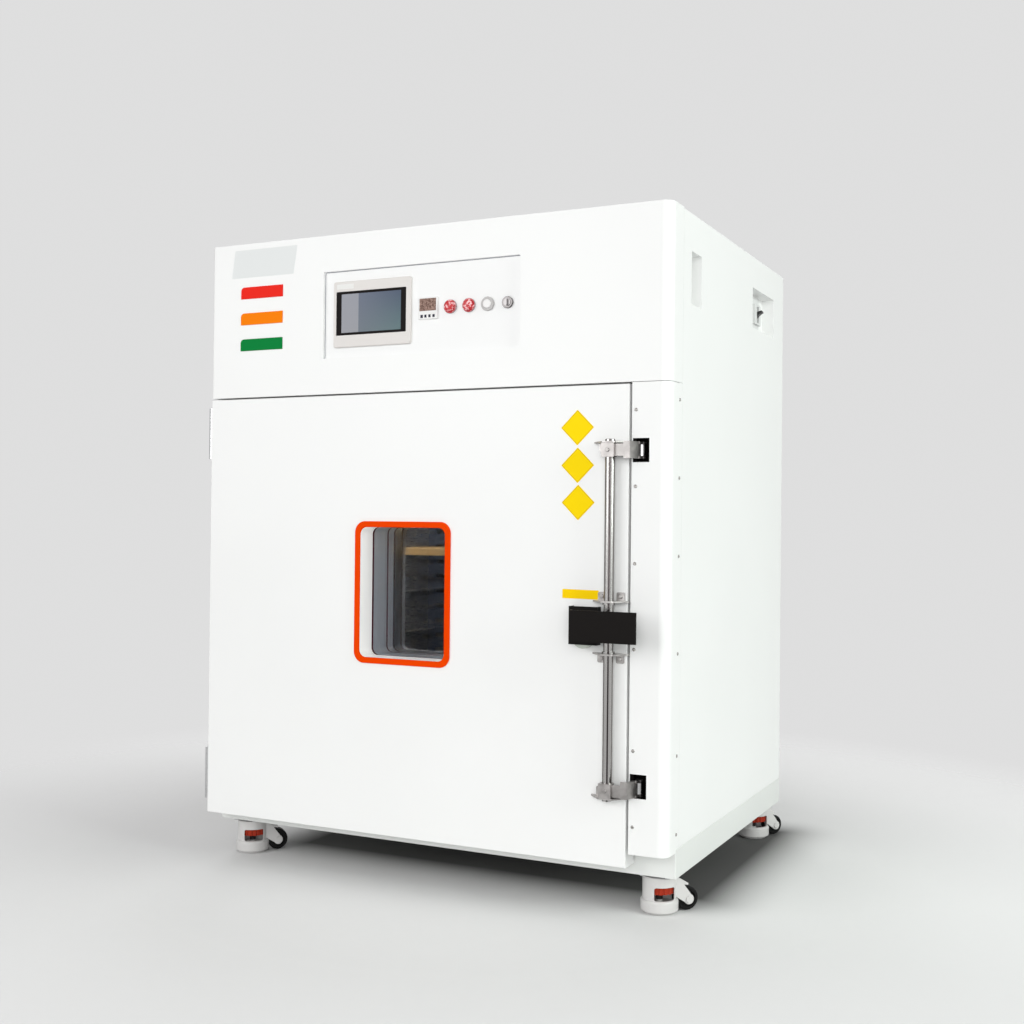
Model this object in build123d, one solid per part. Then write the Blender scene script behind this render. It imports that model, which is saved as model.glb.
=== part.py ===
from build123d import *
import math
import os

# High-temperature oven: a white sheet-steel cabinet on four levelling casters, with a thick
# windowed door hinged at the left and a rod latch at the right.
# All sizes are in millimetres. While modelling, x runs from the cabinet's left side to the right,
# y from the door's front plane to the back, and z from the floor up. The finished pieces are
# shifted at the end, so that the origin lies under the middle of the oven's outer box.

# Chamber, and the walls and bays round it, from which the cabinet's overall sizes follow
CHAMBER_W = 600.0
CHAMBER_H = 600.0
CHAMBER_D = 625.0
WALL_LEFT = 225.0
WALL_RIGHT = 223.0
WALL_BELOW = 164.0
WALL_ABOVE = 170.0
WALL_BACK = 85.0
THROAT_D = 20.0
MOTOR_BAY = 90.0
SIDE_BAY = 68.0
INS_LEFT = 12.0
INS_TOP_GAP = 12.0
LINER_SHEET = 1.5

# Cabinet
CASTER_H = 84.0
BASE_H = 60.0
BASE_WALL = 3.0
BASE_CHANNEL_W = 40.0
BASE_CHANNEL_OFFSET = 159.0
FASCIA_H = 357.0
SHEET = 1.5
SEAM = 0.5
FIT = 0.3
SIDE_LAP = 71.0
RIGHT_CORNER_R = 22.0
LEFT_CORNER_R = 5.0
TOP_CORNER_R = 4.0
FRAME_SHEET = 2.0
FRAME_RETURN = 40.0
FRAME_RISE = 20.0

# Door and the latch column beside it
DOOR_T = 49.0
DOOR_DROP = 36.0
DOOR_TOP_GAP = 3.5
DOOR_SKIN = 1.5
DOOR_EDGE_R = 2.0
COLUMN_W = 82.0
COLUMN_GAP = 5.0
COLUMN_DROP = 7.0
COLUMN_TOP_GAP = 1.0
COLUMN_FOOT = 22.0
CUTOUT_W = 35.0
CUTOUT_H = 48.0
CUTOUT_OFFSET = 3.0
LOWER_CUTOUT_RISE = 9.0

# Plug on the door's back, and the gasket round it
PLUG_CLEAR = 10.0
PLUG_D = 146.0
PLUG_DRAFT = 15.0
PLUG_SHEET = 1.5
GASKET_T = 6.0
GASKET_W = 20.0
GASKET_OUT = 4.0
GASKET_NIP = 0.1
GASKET_R = 2.4

# Window
WINDOW_RISE = 30.0
WINDOW_W = 214.0
WINDOW_H = 286.0
WINDOW_R = 16.0
TRIM_W = 13.0
TRIM_PROUD = 4.0
SPACER_WALL = 6.0
PANE_T = 4.0
PANE_SPOTS = (2.0, 64.0, 93.0, 127.0)

# Hinges at the left edge
PIN_X = -18.0
PIN_Y = 28.0
PIN_R = 4.0
PIN_CLEAR = 0.05
KNUCKLE_R = 9.0
KNUCKLE_GAP = 0.3
HINGE_H = 120.0
HINGE_LEAF_T = 5.0
HINGE_LEAF_W = 54.0
UPPER_HINGE_DROP = 76.5
LOWER_HINGE_RISE = 87.0

# Latch: rod, guides, arms with rollers, lever
ROD_INSET = 34.0
ROD_Y = -16.0
ROD_R = 10.0
ROD_CLEAR = 0.05
COLLAR_R = 13.0
COLLAR_H = 4.0
UPPER_ARM_DROP = 133.5
LOWER_ARM_RISE = 156.0
ARM_H = 24.0
ARM_T = 5.0
ARM_LEG_H = 34.0
ARM_LEG_T = 3.5
HUB_H = 28.0
HUB_R = 13.5
HUB_FRONT = 15.0
ROLLER_REACH = 64.0
ROLLER_ANGLE = 29.0
ROLLER_R = 10.0
ROLLER_H = 24.0
ROLLER_PIN_R = 3.0
KEEPER_W = 56.0
KEEPER_D = 33.0
KEEPER_T = 3.0
KEEPER_LAP = 5.0
LIP_CLEAR = 0.6
LEVER_RISE = 484.0
LEVER_H = 62.0
LEVER_OUT = 59.0
LEVER_T = 3.0
LEVER_LEFT = 61.0
LEVER_RIGHT = 80.0
LEVER_LIP = 14.0
REST_OFFSET = 54.0
REST_DROP = 3.5
REST_W = 62.0
REST_H = 77.0
REST_OUT = 20.0
REST_T = 3.0
BUFFER_R = 23.0
BUFFER_DROP = 7.8
GUIDE_ABOVE = 45.0
GUIDE_BELOW = 57.0
GUIDE_T = 3.0
GUIDE_HALF_W = 28.5
GUIDE_EAR_W = 17.0
GUIDE_EAR_H = 20.0
GUIDE_TAB_HALF_W = 39.0
GUIDE_TAB_NOSE = 14.0
GUIDE_TAB_OUT = 15.0

# Fascia: recessed panel, instruments and signal bars
PANEL_LEFT = 312.0
PANEL_RISE = 80.0
PANEL_W = 491.0
PANEL_H = 195.0
PANEL_RECESS = 8.0
PANEL_T = 2.0
PANEL_LAP = 12.0
SCREEN_FROM_EDGE = 126.0
SCREEN_RISE = 97.0
SCREEN_W = 200.0
SCREEN_H = 147.0
SCREEN_PROUD = 6.0
SCREEN_BODY_D = 38.0
GLASS_W = 181.0
GLASS_H = 97.5
GLASS_DX = -2.0
GLASS_DZ = 2.0
GLASS_T = 3.0
GAUGE_FROM_EDGE = 268.0
GAUGE_SIZE = 48.0
DEVICE_RISE = 98.0
DEVICE_FIRST = 322.5
DEVICE_PITCH = 45.0
SWITCH_PITCH = 47.0
DEVICE_HOLE_R = 11.3
DEVICE_BODY_R = 11.0
DEVICE_RING_R = 15.0
SWITCH_RING_R = 12.5
DEVICE_PROUD = 5.0
BUTTON_CAP_R = 9.5
BUTTON_TRAVEL = 3.0
SIGNAL_LEFT = 83.0
SIGNAL_W = 117.5
SIGNAL_H = 27.0
SIGNAL_RISE = 121.8
SIGNAL_PITCH = 60.35
SIGNAL_PROUD = 1.5
SIGNAL_R = 9.0

# Pockets in the right side, and the main breaker in the rear one
POCKET_D = 30.0
GRIP_FROM_FRONT = 123.0
GRIP_RISE = 169.0
GRIP_W = 67.0
GRIP_H = 109.0
BREAKER_POCKET_FROM_BACK = 94.0
BREAKER_POCKET_RISE = 187.0
BREAKER_POCKET_W = 194.0
BREAKER_POCKET_H = 95.0
BREAKER_FROM_EDGE = 113.0
BREAKER_RISE = 47.0
BREAKER_W = 54.0
BREAKER_H = 80.0
BREAKER_BODY_D = 45.0
BREAKER_PROUD = 12.0
TOGGLE_R = 7.0
TOGGLE_W = 16.0
TOGGLE_LEN = 18.0
TOGGLE_TILT = 25.0

# Air system behind the baffle
AIR_GAP = 60.0
FAN_R = 120.0
FAN_EYE_R = 76.0
FAN_FRONT_GAP = 12.0
FAN_BACK_GAP = 10.0
BLADE_COUNT = 20
SHAFT_R = 8.0
SHAFT_CLEAR = 0.05
SHAFT_HOLE_R = 11.0
MOTOR_R = 48.0
MOTOR_LEN = 74.0
MOTOR_PLATE = 150.0
MOTOR_PLATE_T = 3.0
HEATER_RADII = (140.0, 166.0)
HEATER_R = 4.25
HEATER_GAP = 28.0
HEATER_OPEN_DEG = 9.0
HEATER_HOLE_R = 5.0
INTAKE_PITCH = 18.0
OUTLET_PITCH = 40.0
OUTLET_INSETS = (85.0, 40.0)
OUTLET_L = 34.0
OUTLET_H = 12.0

# Shelves and their rails
RAIL_FRONT_GAP = 20.0
RAIL_BACK_GAP = 8.0
RAIL_RISE = 89.7
RAIL_PITCH = 107.0
RAIL_HEADROOM = 60.0
RAIL_W = 20.0
RAIL_T = 1.5
SHELF_LEVELS = (0, 3)
SHELF_FRONT_GAP = 30.0
SHELF_BACK_GAP = 15.0
SHELF_SIDE_GAP = 4.0
SHELF_ROD_R = 4.0
SHELF_WIRE_R = 2.5
SHELF_WIRES = 17
SHELF_CORNER_R = 14.0
SHELF_LIP_H = 16.0
SHELF_LIP_T = 2.0
SHELF_LIP_GAP = 3.0

# Back panel and cable gland
BACK_RETURN = 16.0
SLOT_W = 90.0
SLOT_H = 5.0
SLOT_PITCH = 14.0
SLOT_ROWS = 12
UPPER_SLOT_RISE = 200.0
GLAND_FROM_RIGHT = 95.0
GLAND_RISE = 86.0
GLAND_R = 8.0
GLAND_BODY_R = 14.0
GLAND_OUT = 24.0

# Levelling casters
CASTER_INSET = 52.0
CASTER_ANGLES = {"fl": 47.0, "fr": 45.0, "rl": 40.0, "rr": 55.0}
PLATE_SIZE = 73.0
PLATE_T = 4.0
PLATE_BOLTS = 54.0
BOLT_R = 4.0
RACE_H = 4.0
HOUSING_R = 35.0
HOUSING_Z = 20.0
HOUSING_GAP = 0.3
SKIRT_R = 32.5
GUARD_R = 39.0
GUARD_Z0 = 5.0
GUARD_Z1 = 29.0
SPIGOT_R = 14.0
SPIGOT_CLEAR = 0.05
SPIGOT_L = 21.0
ROOF_T = 2.0
DIAL_R = 31.0
DIAL_H = 15.7
DIAL_NOTCHES = 18
DIAL_WINDOW_H = 27.0
DIAL_WINDOW_W = 44.0
STEM_R = 7.0
STEM_CLEAR = 0.05
PAD_R = 32.0
PAD_H = 20.0
PAD_RUBBER = 6.0
WHEEL_OFFSET = 58.0
WHEEL_R = 24.0
WHEEL_W = 27.0
WHEEL_LIFT = 1.2
WHEEL_ROOM = 2.5
AXLE_R = 4.0
AXLE_CLEAR = 0.05
CHEEK_T = 6.0
THREAD_LEAD = 4.0

# Places worked out from the sizes above
DECK_Z = CASTER_H + BASE_H
FRONT_T = DOOR_T + GASKET_T
LINER_Y = FRONT_T + THROAT_D
LINER_BACK = LINER_Y + CHAMBER_D
INS_BACK = LINER_BACK + WALL_BACK
CASE_D = INS_BACK + MOTOR_BAY
CHAMBER_X = WALL_LEFT
CHAMBER_X1 = CHAMBER_X + CHAMBER_W
DOOR_W = CHAMBER_X1 + WALL_RIGHT
COLUMN_X = DOOR_W + COLUMN_GAP
CASE_W = COLUMN_X + COLUMN_W
INS_RIGHT = DOOR_W - SIDE_BAY
CHAMBER_Z = DECK_Z + WALL_BELOW
CHAMBER_TOP = CHAMBER_Z + CHAMBER_H
FASCIA_Z = CHAMBER_TOP + WALL_ABOVE
INS_TOP = FASCIA_Z - INS_TOP_GAP
CASE_H = FASCIA_Z + FASCIA_H
DOOR_Z = DECK_Z - DOOR_DROP
DOOR_TOP = FASCIA_Z - DOOR_TOP_GAP
COLUMN_Z = DECK_Z - COLUMN_DROP
COLUMN_TOP = FASCIA_Z - COLUMN_TOP_GAP
PLUG_END = DOOR_T + PLUG_D
FAN_X = CHAMBER_X + CHAMBER_W / 2
FAN_Z = CHAMBER_Z + CHAMBER_H / 2
WINDOW_X = FAN_X
WINDOW_Z = FAN_Z + WINDOW_RISE
PANE_DEPTHS = tuple(DOOR_T + spot for spot in PANE_SPOTS)
UPPER_HINGE_Z = DOOR_TOP - UPPER_HINGE_DROP
LOWER_HINGE_Z = DOOR_Z + LOWER_HINGE_RISE
CAB_LEAF_Y0 = FRONT_T + 3.0
ROD_X = DOOR_W - ROD_INSET
ARM_UPPER_Z = DOOR_TOP - UPPER_ARM_DROP
ARM_LOWER_Z = DOOR_Z + LOWER_ARM_RISE
CUTOUT_X = COLUMN_X + CUTOUT_OFFSET
UPPER_CUTOUT_Z = ARM_UPPER_Z
LOWER_CUTOUT_Z = ARM_LOWER_Z + LOWER_CUTOUT_RISE
UPPER_LEG_Z = UPPER_CUTOUT_Z
LOWER_LEG_Z = LOWER_CUTOUT_Z - (CUTOUT_H - ARM_LEG_H) / 2 + 2.0
LEVER_Z = DOOR_Z + LEVER_RISE
LEVER_Y = ROD_Y - LEVER_OUT
REST_X = ROD_X - REST_OFFSET
REST_Z = LEVER_Z - REST_DROP
REST_FACE_Y = -REST_OUT
GUIDE_UPPER_Z = LEVER_Z + GUIDE_ABOVE
GUIDE_LOWER_Z = LEVER_Z - GUIDE_BELOW
PANEL_X0 = PANEL_LEFT
PANEL_X1 = PANEL_X0 + PANEL_W
PANEL_Z0 = FASCIA_Z + PANEL_RISE
PANEL_Z1 = PANEL_Z0 + PANEL_H
PANEL_FRONT = PANEL_RECESS
SCREEN_X = PANEL_X0 + SCREEN_FROM_EDGE
SCREEN_Z = PANEL_Z0 + SCREEN_RISE
SCREEN_FRONT = PANEL_FRONT - SCREEN_PROUD
GAUGE_X = PANEL_X0 + GAUGE_FROM_EDGE
DEVICE_Z = PANEL_Z0 + DEVICE_RISE
DEVICE_FRONT = PANEL_FRONT - DEVICE_PROUD
LAMP_XS = (PANEL_X0 + DEVICE_FIRST, PANEL_X0 + DEVICE_FIRST + DEVICE_PITCH)
BUTTON_X = LAMP_XS[1] + DEVICE_PITCH
SWITCH_X = BUTTON_X + SWITCH_PITCH
SIGNAL_X0 = SIGNAL_LEFT
SIGNAL_X1 = SIGNAL_X0 + SIGNAL_W
SIGNAL_ZS = tuple(FASCIA_Z + SIGNAL_RISE + row * SIGNAL_PITCH for row in (2, 1, 0))
POCKET_BACK = CASE_W - POCKET_D
GRIP_Y0 = GRIP_FROM_FRONT
GRIP_Y1 = GRIP_Y0 + GRIP_W
GRIP_Z0 = FASCIA_Z + GRIP_RISE
GRIP_Z1 = GRIP_Z0 + GRIP_H
BREAKER_POCKET_Y1 = CASE_D - BREAKER_POCKET_FROM_BACK
BREAKER_POCKET_Y0 = BREAKER_POCKET_Y1 - BREAKER_POCKET_W
BREAKER_POCKET_Z0 = FASCIA_Z + BREAKER_POCKET_RISE
BREAKER_POCKET_Z1 = BREAKER_POCKET_Z0 + BREAKER_POCKET_H
BREAKER_Y = BREAKER_POCKET_Y0 + BREAKER_FROM_EDGE
BREAKER_Z = BREAKER_POCKET_Z0 + BREAKER_RISE
TOGGLE_X = POCKET_BACK + TOGGLE_R
BAFFLE_Y = LINER_BACK - AIR_GAP
FAN_Y0 = BAFFLE_Y + FAN_FRONT_GAP
FAN_Y1 = LINER_BACK - FAN_BACK_GAP
HEATER_Y = BAFFLE_Y + HEATER_GAP
RAIL_Y0 = PLUG_END + RAIL_FRONT_GAP
RAIL_Y1 = BAFFLE_Y - RAIL_BACK_GAP
RAIL_FIRST_Z = CHAMBER_Z + RAIL_RISE
RAIL_LEVELS = int((CHAMBER_H - RAIL_RISE - RAIL_HEADROOM) // RAIL_PITCH) + 1
SHELF_Y0 = PLUG_END + SHELF_FRONT_GAP
SHELF_D = BAFFLE_Y - SHELF_BACK_GAP - SHELF_Y0
SHELF_ZS = tuple(RAIL_FIRST_Z + level * RAIL_PITCH for level in SHELF_LEVELS)
GLAND_X = CASE_W - GLAND_FROM_RIGHT
GLAND_Z = DECK_Z + GLAND_RISE
BASE_CHANNEL_XS = (CASE_W / 2 - BASE_CHANNEL_OFFSET, CASE_W / 2 + BASE_CHANNEL_OFFSET)
AXLE_Z = WHEEL_R + WHEEL_LIFT
SPIGOT_Z = CASTER_H - PLATE_T - SPIGOT_L
DIAL_CEIL = SPIGOT_Z - ROOF_T
DIAL_Z0 = DIAL_CEIL - FIT - DIAL_H
STEM_TOP = DIAL_CEIL - 5.0
CASTER_SPOTS = {
    "fl": (CASTER_INSET, FRONT_T + CASTER_INSET),
    "fr": (CASE_W - CASTER_INSET, FRONT_T + CASTER_INSET),
    "rl": (CASTER_INSET, CASE_D - CASTER_INSET),
    "rr": (CASE_W - CASTER_INSET, CASE_D - CASTER_INSET),
}


# Drawing helpers: a sketch in two of the axes, and its extrusion along the third
def rect(a0, a1, b0, b1, r=0.0):
    place = Pos((a0 + a1) / 2, (b0 + b1) / 2)
    if r > 0:
        return place * RectangleRounded(a1 - a0, b1 - b0, r)
    return place * Rectangle(a1 - a0, b1 - b0)


def disc(a, b, r):
    return Pos(a, b) * Circle(r)


def shape_of(points):
    # Any outline of straight edges, turned so that its face looks along the local z axis
    area = sum(a[0] * b[1] - b[0] * a[1] for a, b in zip(points, points[1:] + points[:1]))
    ordered = points if area > 0 else points[::-1]
    return Polygon(*ordered, align=None)


def along_x(sketch, x0, x1):
    return extrude(Plane.YZ.offset(x0) * sketch, amount=x1 - x0, dir=(1, 0, 0))


def along_y(sketch, y0, y1):
    return extrude(Plane.XZ.offset(-y1) * sketch, amount=y1 - y0, dir=(0, -1, 0))


def along_z(sketch, z0, z1):
    return extrude(Plane.XY.offset(z0) * sketch, amount=z1 - z0, dir=(0, 0, 1))


def block(x0, x1, y0, y1, z0, z1):
    return along_z(rect(x0, x1, y0, y1), z0, z1)


def turned(part, axis, degrees):
    return part.rotate(axis, degrees)


def cover_outline(x0, x1, y0, y1, r_left, r_right):
    # A sheet cover seen from above: open at the back, with two rounded front corners
    path = FilletPolyline((x0, y1), (x0, y0), (x1, y0), (x1, y1), radius=[r_left, r_right])
    return make_face(path + Line((x1, y1), (x0, y1)))


def tapered_plug(inset, y_end):
    # The plug's body, whose four sides draw in towards the chamber; all its faces are flat
    x0 = CHAMBER_X + PLUG_CLEAR + inset
    x1 = CHAMBER_X1 - PLUG_CLEAR - inset
    z0 = CHAMBER_Z + PLUG_CLEAR + inset
    z1 = CHAMBER_TOP - PLUG_CLEAR - inset
    y0 = DOOR_T - PLUG_SHEET
    draw = PLUG_DRAFT * (y_end - y0) / (PLUG_END - y0)
    plan = shape_of([(x0, y0), (x1, y0), (x1 - draw, y_end), (x0 + draw, y_end)])
    side = shape_of([(y0, z0), (y0, z1), (y_end, z1 - draw), (y_end, z0 + draw)])
    return along_z(plan, z0, z1) & along_x(side, x0, x1)


def window_sketch(grow, r):
    half_w = WINDOW_W / 2 + grow
    half_h = WINDOW_H / 2 + grow
    return rect(WINDOW_X - half_w, WINDOW_X + half_w, WINDOW_Z - half_h, WINDOW_Z + half_h, r)


# Cabinet
def base_frame():
    t = BASE_WALL
    outline = rect(0, CASE_W, FRONT_T, CASE_D, 2)
    inner = rect(t, CASE_W - t, FRONT_T + t, CASE_D - t)
    pad = 2 * CASTER_INSET
    frame = along_z(outline - inner, CASTER_H, DECK_Z)
    frame += along_z(outline, DECK_Z - t, DECK_Z)
    for x, y in CASTER_SPOTS.values():
        corner = rect(x - pad / 2, x + pad / 2, y - pad / 2, y + pad / 2) & outline
        frame += along_z(corner, CASTER_H, CASTER_H + t)
    half = BASE_CHANNEL_W / 2
    for x in BASE_CHANNEL_XS:
        channel = rect(x - half, x + half, CASTER_H, DECK_Z) - rect(x - half + t, x + half - t, CASTER_H - 1, DECK_Z - t)
        frame += along_y(channel, FRONT_T + t / 2, CASE_D - t / 2)
    for x, y in CASTER_SPOTS.values():
        for dx in (-PLATE_BOLTS / 2, PLATE_BOLTS / 2):
            for dy in (-PLATE_BOLTS / 2, PLATE_BOLTS / 2):
                frame -= along_z(disc(x + dx, y + dy, BOLT_R + PIN_CLEAR), CASTER_H - 1, CASTER_H + 10)
    rim = frame.edges().filter_by(Plane.XY).group_by(Axis.Z)[-1]
    return chamfer(rim, 1.2)


def pocket_cup(y0, y1, z0, z1):
    cup = block(POCKET_BACK - SHEET, CASE_W, y0 - SHEET, y1 + SHEET, z0 - SHEET, z1 + SHEET)
    return cup - block(POCKET_BACK, CASE_W + 1, y0, y1, z0, z1)


def casing_arch(inset):
    sketch = rect(inset, CASE_W - inset, DECK_Z, CASE_H - inset)
    return fillet(sketch.vertices().group_by(Axis.Y)[-1], max(TOP_CORNER_R - inset, 1.0))


def outer_casing():
    front = SIDE_LAP + SEAM
    shell = along_y(casing_arch(0) - casing_arch(SHEET), front, CASE_D)
    shell += block(0, SHEET, FRONT_T, front, DECK_Z, FASCIA_Z - SEAM)
    foot = 25.0
    shell += block(SHEET, SHEET + foot, front + foot, CASE_D - foot, DECK_Z, DECK_Z + SHEET)
    shell += block(CASE_W - SHEET - foot, CASE_W - SHEET, front + foot, CASE_D - foot, DECK_Z, DECK_Z + SHEET)
    pockets = (
        (GRIP_Y0, GRIP_Y1, GRIP_Z0, GRIP_Z1),
        (BREAKER_POCKET_Y0, BREAKER_POCKET_Y1, BREAKER_POCKET_Z0, BREAKER_POCKET_Z1),
    )
    for y0, y1, z0, z1 in pockets:
        shell -= block(CASE_W - SHEET - 1, CASE_W + 1, y0, y1, z0, z1)
        shell += pocket_cup(y0, y1, z0, z1)
    half_w = BREAKER_W / 2 + FIT
    half_h = BREAKER_H / 2 + FIT
    shell -= block(POCKET_BACK - SHEET - 1, POCKET_BACK + 1, BREAKER_Y - half_w, BREAKER_Y + half_w,
                   BREAKER_Z - half_h, BREAKER_Z + half_h)
    return shell


def back_panel():
    edge = SHEET + FIT
    skin = casing_arch(edge)
    inner = casing_arch(edge + SHEET) - rect(0, CASE_W, DECK_Z, DECK_Z + SHEET)
    panel = along_y(skin, CASE_D - SHEET, CASE_D)
    panel += along_y(skin - inner, CASE_D - BACK_RETURN, CASE_D)
    slots = []
    for middle, rows in ((FAN_Z, SLOT_ROWS), (FASCIA_Z + UPPER_SLOT_RISE, SLOT_ROWS // 2)):
        for row in range(rows):
            for x in (FAN_X - SLOT_W * 0.6, FAN_X + SLOT_W * 0.6):
                z = middle + (row - (rows - 1) / 2) * SLOT_PITCH
                slots.append(Pos(x, z) * SlotOverall(SLOT_W, SLOT_H))
    for sketch in slots:
        panel -= along_y(sketch, CASE_D - SHEET - 1, CASE_D + 1)
    return panel - along_y(disc(GLAND_X, GLAND_Z, GLAND_BODY_R - 3 + PIN_CLEAR), CASE_D - 5, CASE_D + 1)


def front_frame():
    left = SHEET
    right = CASE_W - SHEET
    top = FASCIA_Z + FRAME_RISE
    back = FRONT_T + FRAME_RETURN
    mouth = rect(CHAMBER_X, CHAMBER_X1, CHAMBER_Z, CHAMBER_TOP)
    collar = rect(CHAMBER_X - FRAME_SHEET, CHAMBER_X1 + FRAME_SHEET, CHAMBER_Z - FRAME_SHEET, CHAMBER_TOP + FRAME_SHEET)
    frame = along_y(rect(left, right, DECK_Z, top), FRONT_T, FRONT_T + FRAME_SHEET)
    frame += along_y(collar, FRONT_T, LINER_Y)
    frame -= along_y(mouth, FRONT_T - 1, LINER_Y + 1)
    frame += block(left, left + FRAME_SHEET, FRONT_T, back, DECK_Z, top)
    frame += block(right - FRAME_SHEET, right, FRONT_T, back, DECK_Z, top)
    frame += block(left, right, FRONT_T, back, top - FRAME_SHEET, top)
    return frame


def heater_leg_spots():
    spots = []
    for radius in HEATER_RADII:
        for side in (-1, 1):
            angle = math.radians(-90 + side * HEATER_OPEN_DEG)
            spots.append((FAN_X + radius * math.cos(angle), FAN_Z + radius * math.sin(angle)))
    return spots


def liner_outer(y0, y1):
    t = LINER_SHEET
    return block(CHAMBER_X - t, CHAMBER_X1 + t, y0, y1, CHAMBER_Z - t, CHAMBER_TOP + t)


def chamber_liner():
    liner = liner_outer(LINER_Y, LINER_BACK + LINER_SHEET)
    liner -= block(CHAMBER_X, CHAMBER_X1, LINER_Y - 1, LINER_BACK, CHAMBER_Z, CHAMBER_TOP)
    liner -= along_y(disc(FAN_X, FAN_Z, SHAFT_HOLE_R), LINER_BACK - 1, LINER_BACK + 5)
    for x, z in heater_leg_spots():
        liner -= along_y(disc(x, z, HEATER_HOLE_R), LINER_BACK - 1, LINER_BACK + 5)
    return liner


def insulation():
    body = block(INS_LEFT, INS_RIGHT, FRONT_T + FRAME_SHEET, INS_BACK, DECK_Z, INS_TOP)
    body -= liner_outer(LINER_Y, LINER_BACK + LINER_SHEET)
    t = FRAME_SHEET
    body -= block(CHAMBER_X - t, CHAMBER_X1 + t, FRONT_T, LINER_Y, CHAMBER_Z - t, CHAMBER_TOP + t)
    body -= along_y(disc(FAN_X, FAN_Z, SHAFT_HOLE_R), LINER_BACK, INS_BACK + 1)
    for x, z in heater_leg_spots():
        body -= along_y(disc(x, z, HEATER_HOLE_R), LINER_BACK, INS_BACK + 1)
    corner = block(INS_LEFT - 1, SHEET + 26, FRONT_T, CASE_D, DECK_Z - 1, DECK_Z + SHEET)
    return body - corner


def signal_sketch(z, grow):
    x0 = SIGNAL_X0 - grow
    x1 = SIGNAL_X1 + grow
    half = SIGNAL_H / 2 + grow
    sketch = rect(x0, x1, z - half, z + half)
    corner = sketch.vertices().group_by(Axis.Y)[-1].sort_by(Axis.X)[0]
    return fillet([corner], SIGNAL_R + grow)


def control_fascia():
    outside = cover_outline(0, CASE_W, 0, SIDE_LAP, LEFT_CORNER_R, RIGHT_CORNER_R)
    hollow = cover_outline(SHEET, CASE_W - SHEET, SHEET, SIDE_LAP + 5, LEFT_CORNER_R - SHEET, RIGHT_CORNER_R - SHEET)
    fascia = along_z(outside, FASCIA_Z, CASE_H)
    fascia -= along_z(hollow, FASCIA_Z + SHEET, CASE_H - SHEET)
    fascia -= block(-1, CASE_W + 1, FRONT_T, SIDE_LAP + 1, FASCIA_Z - 1, FASCIA_Z + SHEET)
    fascia -= block(SHEET, CASE_W - SHEET, SIDE_LAP - 40, SIDE_LAP + 1, FASCIA_Z + SHEET, FASCIA_Z + 2 * SHEET)
    opening = rect(PANEL_X0, PANEL_X1, PANEL_Z0, PANEL_Z1, 3)
    frame = rect(PANEL_X0 - SHEET, PANEL_X1 + SHEET, PANEL_Z0 - SHEET, PANEL_Z1 + SHEET, 3 + SHEET)
    fascia += along_y(frame, 0, PANEL_FRONT)
    fascia -= along_y(opening, -1, PANEL_FRONT + 1)
    for z in SIGNAL_ZS:
        fascia -= along_y(signal_sketch(z, FIT), -1, SHEET + 1)
    return fascia


def control_panel():
    lap = PANEL_LAP
    sketch = rect(PANEL_X0 - lap, PANEL_X1 + lap, PANEL_Z0 - lap, PANEL_Z1 + lap, 3)
    sketch -= rect(SCREEN_X - SCREEN_W / 2 + 4, SCREEN_X + SCREEN_W / 2 - 4,
                   SCREEN_Z - SCREEN_H / 2 + 4, SCREEN_Z + SCREEN_H / 2 - 4, 2)
    half = GAUGE_SIZE / 2 - 1.5
    sketch -= rect(GAUGE_X - half, GAUGE_X + half, DEVICE_Z - half, DEVICE_Z + half, 1)
    for x in LAMP_XS + (BUTTON_X, SWITCH_X):
        sketch -= disc(x, DEVICE_Z, DEVICE_HOLE_R)
    return along_y(sketch, PANEL_FRONT, PANEL_FRONT + PANEL_T)


def glass_sketch(grow):
    cx = SCREEN_X + GLASS_DX
    cz = SCREEN_Z + GLASS_DZ
    return rect(cx - GLASS_W / 2 - grow, cx + GLASS_W / 2 + grow, cz - GLASS_H / 2 - grow, cz + GLASS_H / 2 + grow, 2)


def screen_bezel():
    half_w = SCREEN_W / 2
    half_h = SCREEN_H / 2
    bezel = along_y(rect(SCREEN_X - half_w, SCREEN_X + half_w, SCREEN_Z - half_h, SCREEN_Z + half_h, 5),
                    SCREEN_FRONT, PANEL_FRONT)
    bezel = chamfer(bezel.faces().sort_by(Axis.Y)[0].edges(), 1.2)
    bezel += along_y(rect(SCREEN_X - half_w + 5, SCREEN_X + half_w - 5, SCREEN_Z - half_h + 5, SCREEN_Z + half_h - 5),
                     PANEL_FRONT - 1, PANEL_FRONT + SCREEN_BODY_D)
    return bezel - along_y(glass_sketch(0.2), SCREEN_FRONT - 1, SCREEN_FRONT + 1 + GLASS_T)


def screen_glass():
    return along_y(glass_sketch(0), SCREEN_FRONT + 1, SCREEN_FRONT + 1 + GLASS_T)


def over_temp_controller():
    half = GAUGE_SIZE / 2
    front = along_y(rect(GAUGE_X - half, GAUGE_X + half, DEVICE_Z - half, DEVICE_Z + half, 2), DEVICE_FRONT, PANEL_FRONT)
    front = chamfer(front.faces().sort_by(Axis.Y)[0].edges(), 1.0)
    face = rect(GAUGE_X - half + 3, GAUGE_X + half - 3, DEVICE_Z - half + 3, DEVICE_Z + half - 3, 1)
    front -= along_y(face, DEVICE_FRONT - 1, DEVICE_FRONT + 0.8)
    for key in range(4):
        x = GAUGE_X + (key - 1.5) * 9.5
        front += along_y(rect(x - 3.2, x + 3.2, DEVICE_Z - half + 5, DEVICE_Z - half + 9, 1), DEVICE_FRONT + 0.2, DEVICE_FRONT + 2)
    body = half - 2
    return front + along_y(rect(GAUGE_X - body, GAUGE_X + body, DEVICE_Z - body, DEVICE_Z + body), PANEL_FRONT - 1, PANEL_FRONT + 70)


def round_about_y(x, z, profile):
    # A turned piece whose axis points out of the panel; the profile is (radius, y) pairs
    sketch = Plane.XY * Polygon(*profile, align=None)
    return Pos(x, 0, z) * revolve(sketch, Axis.Y)


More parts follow.
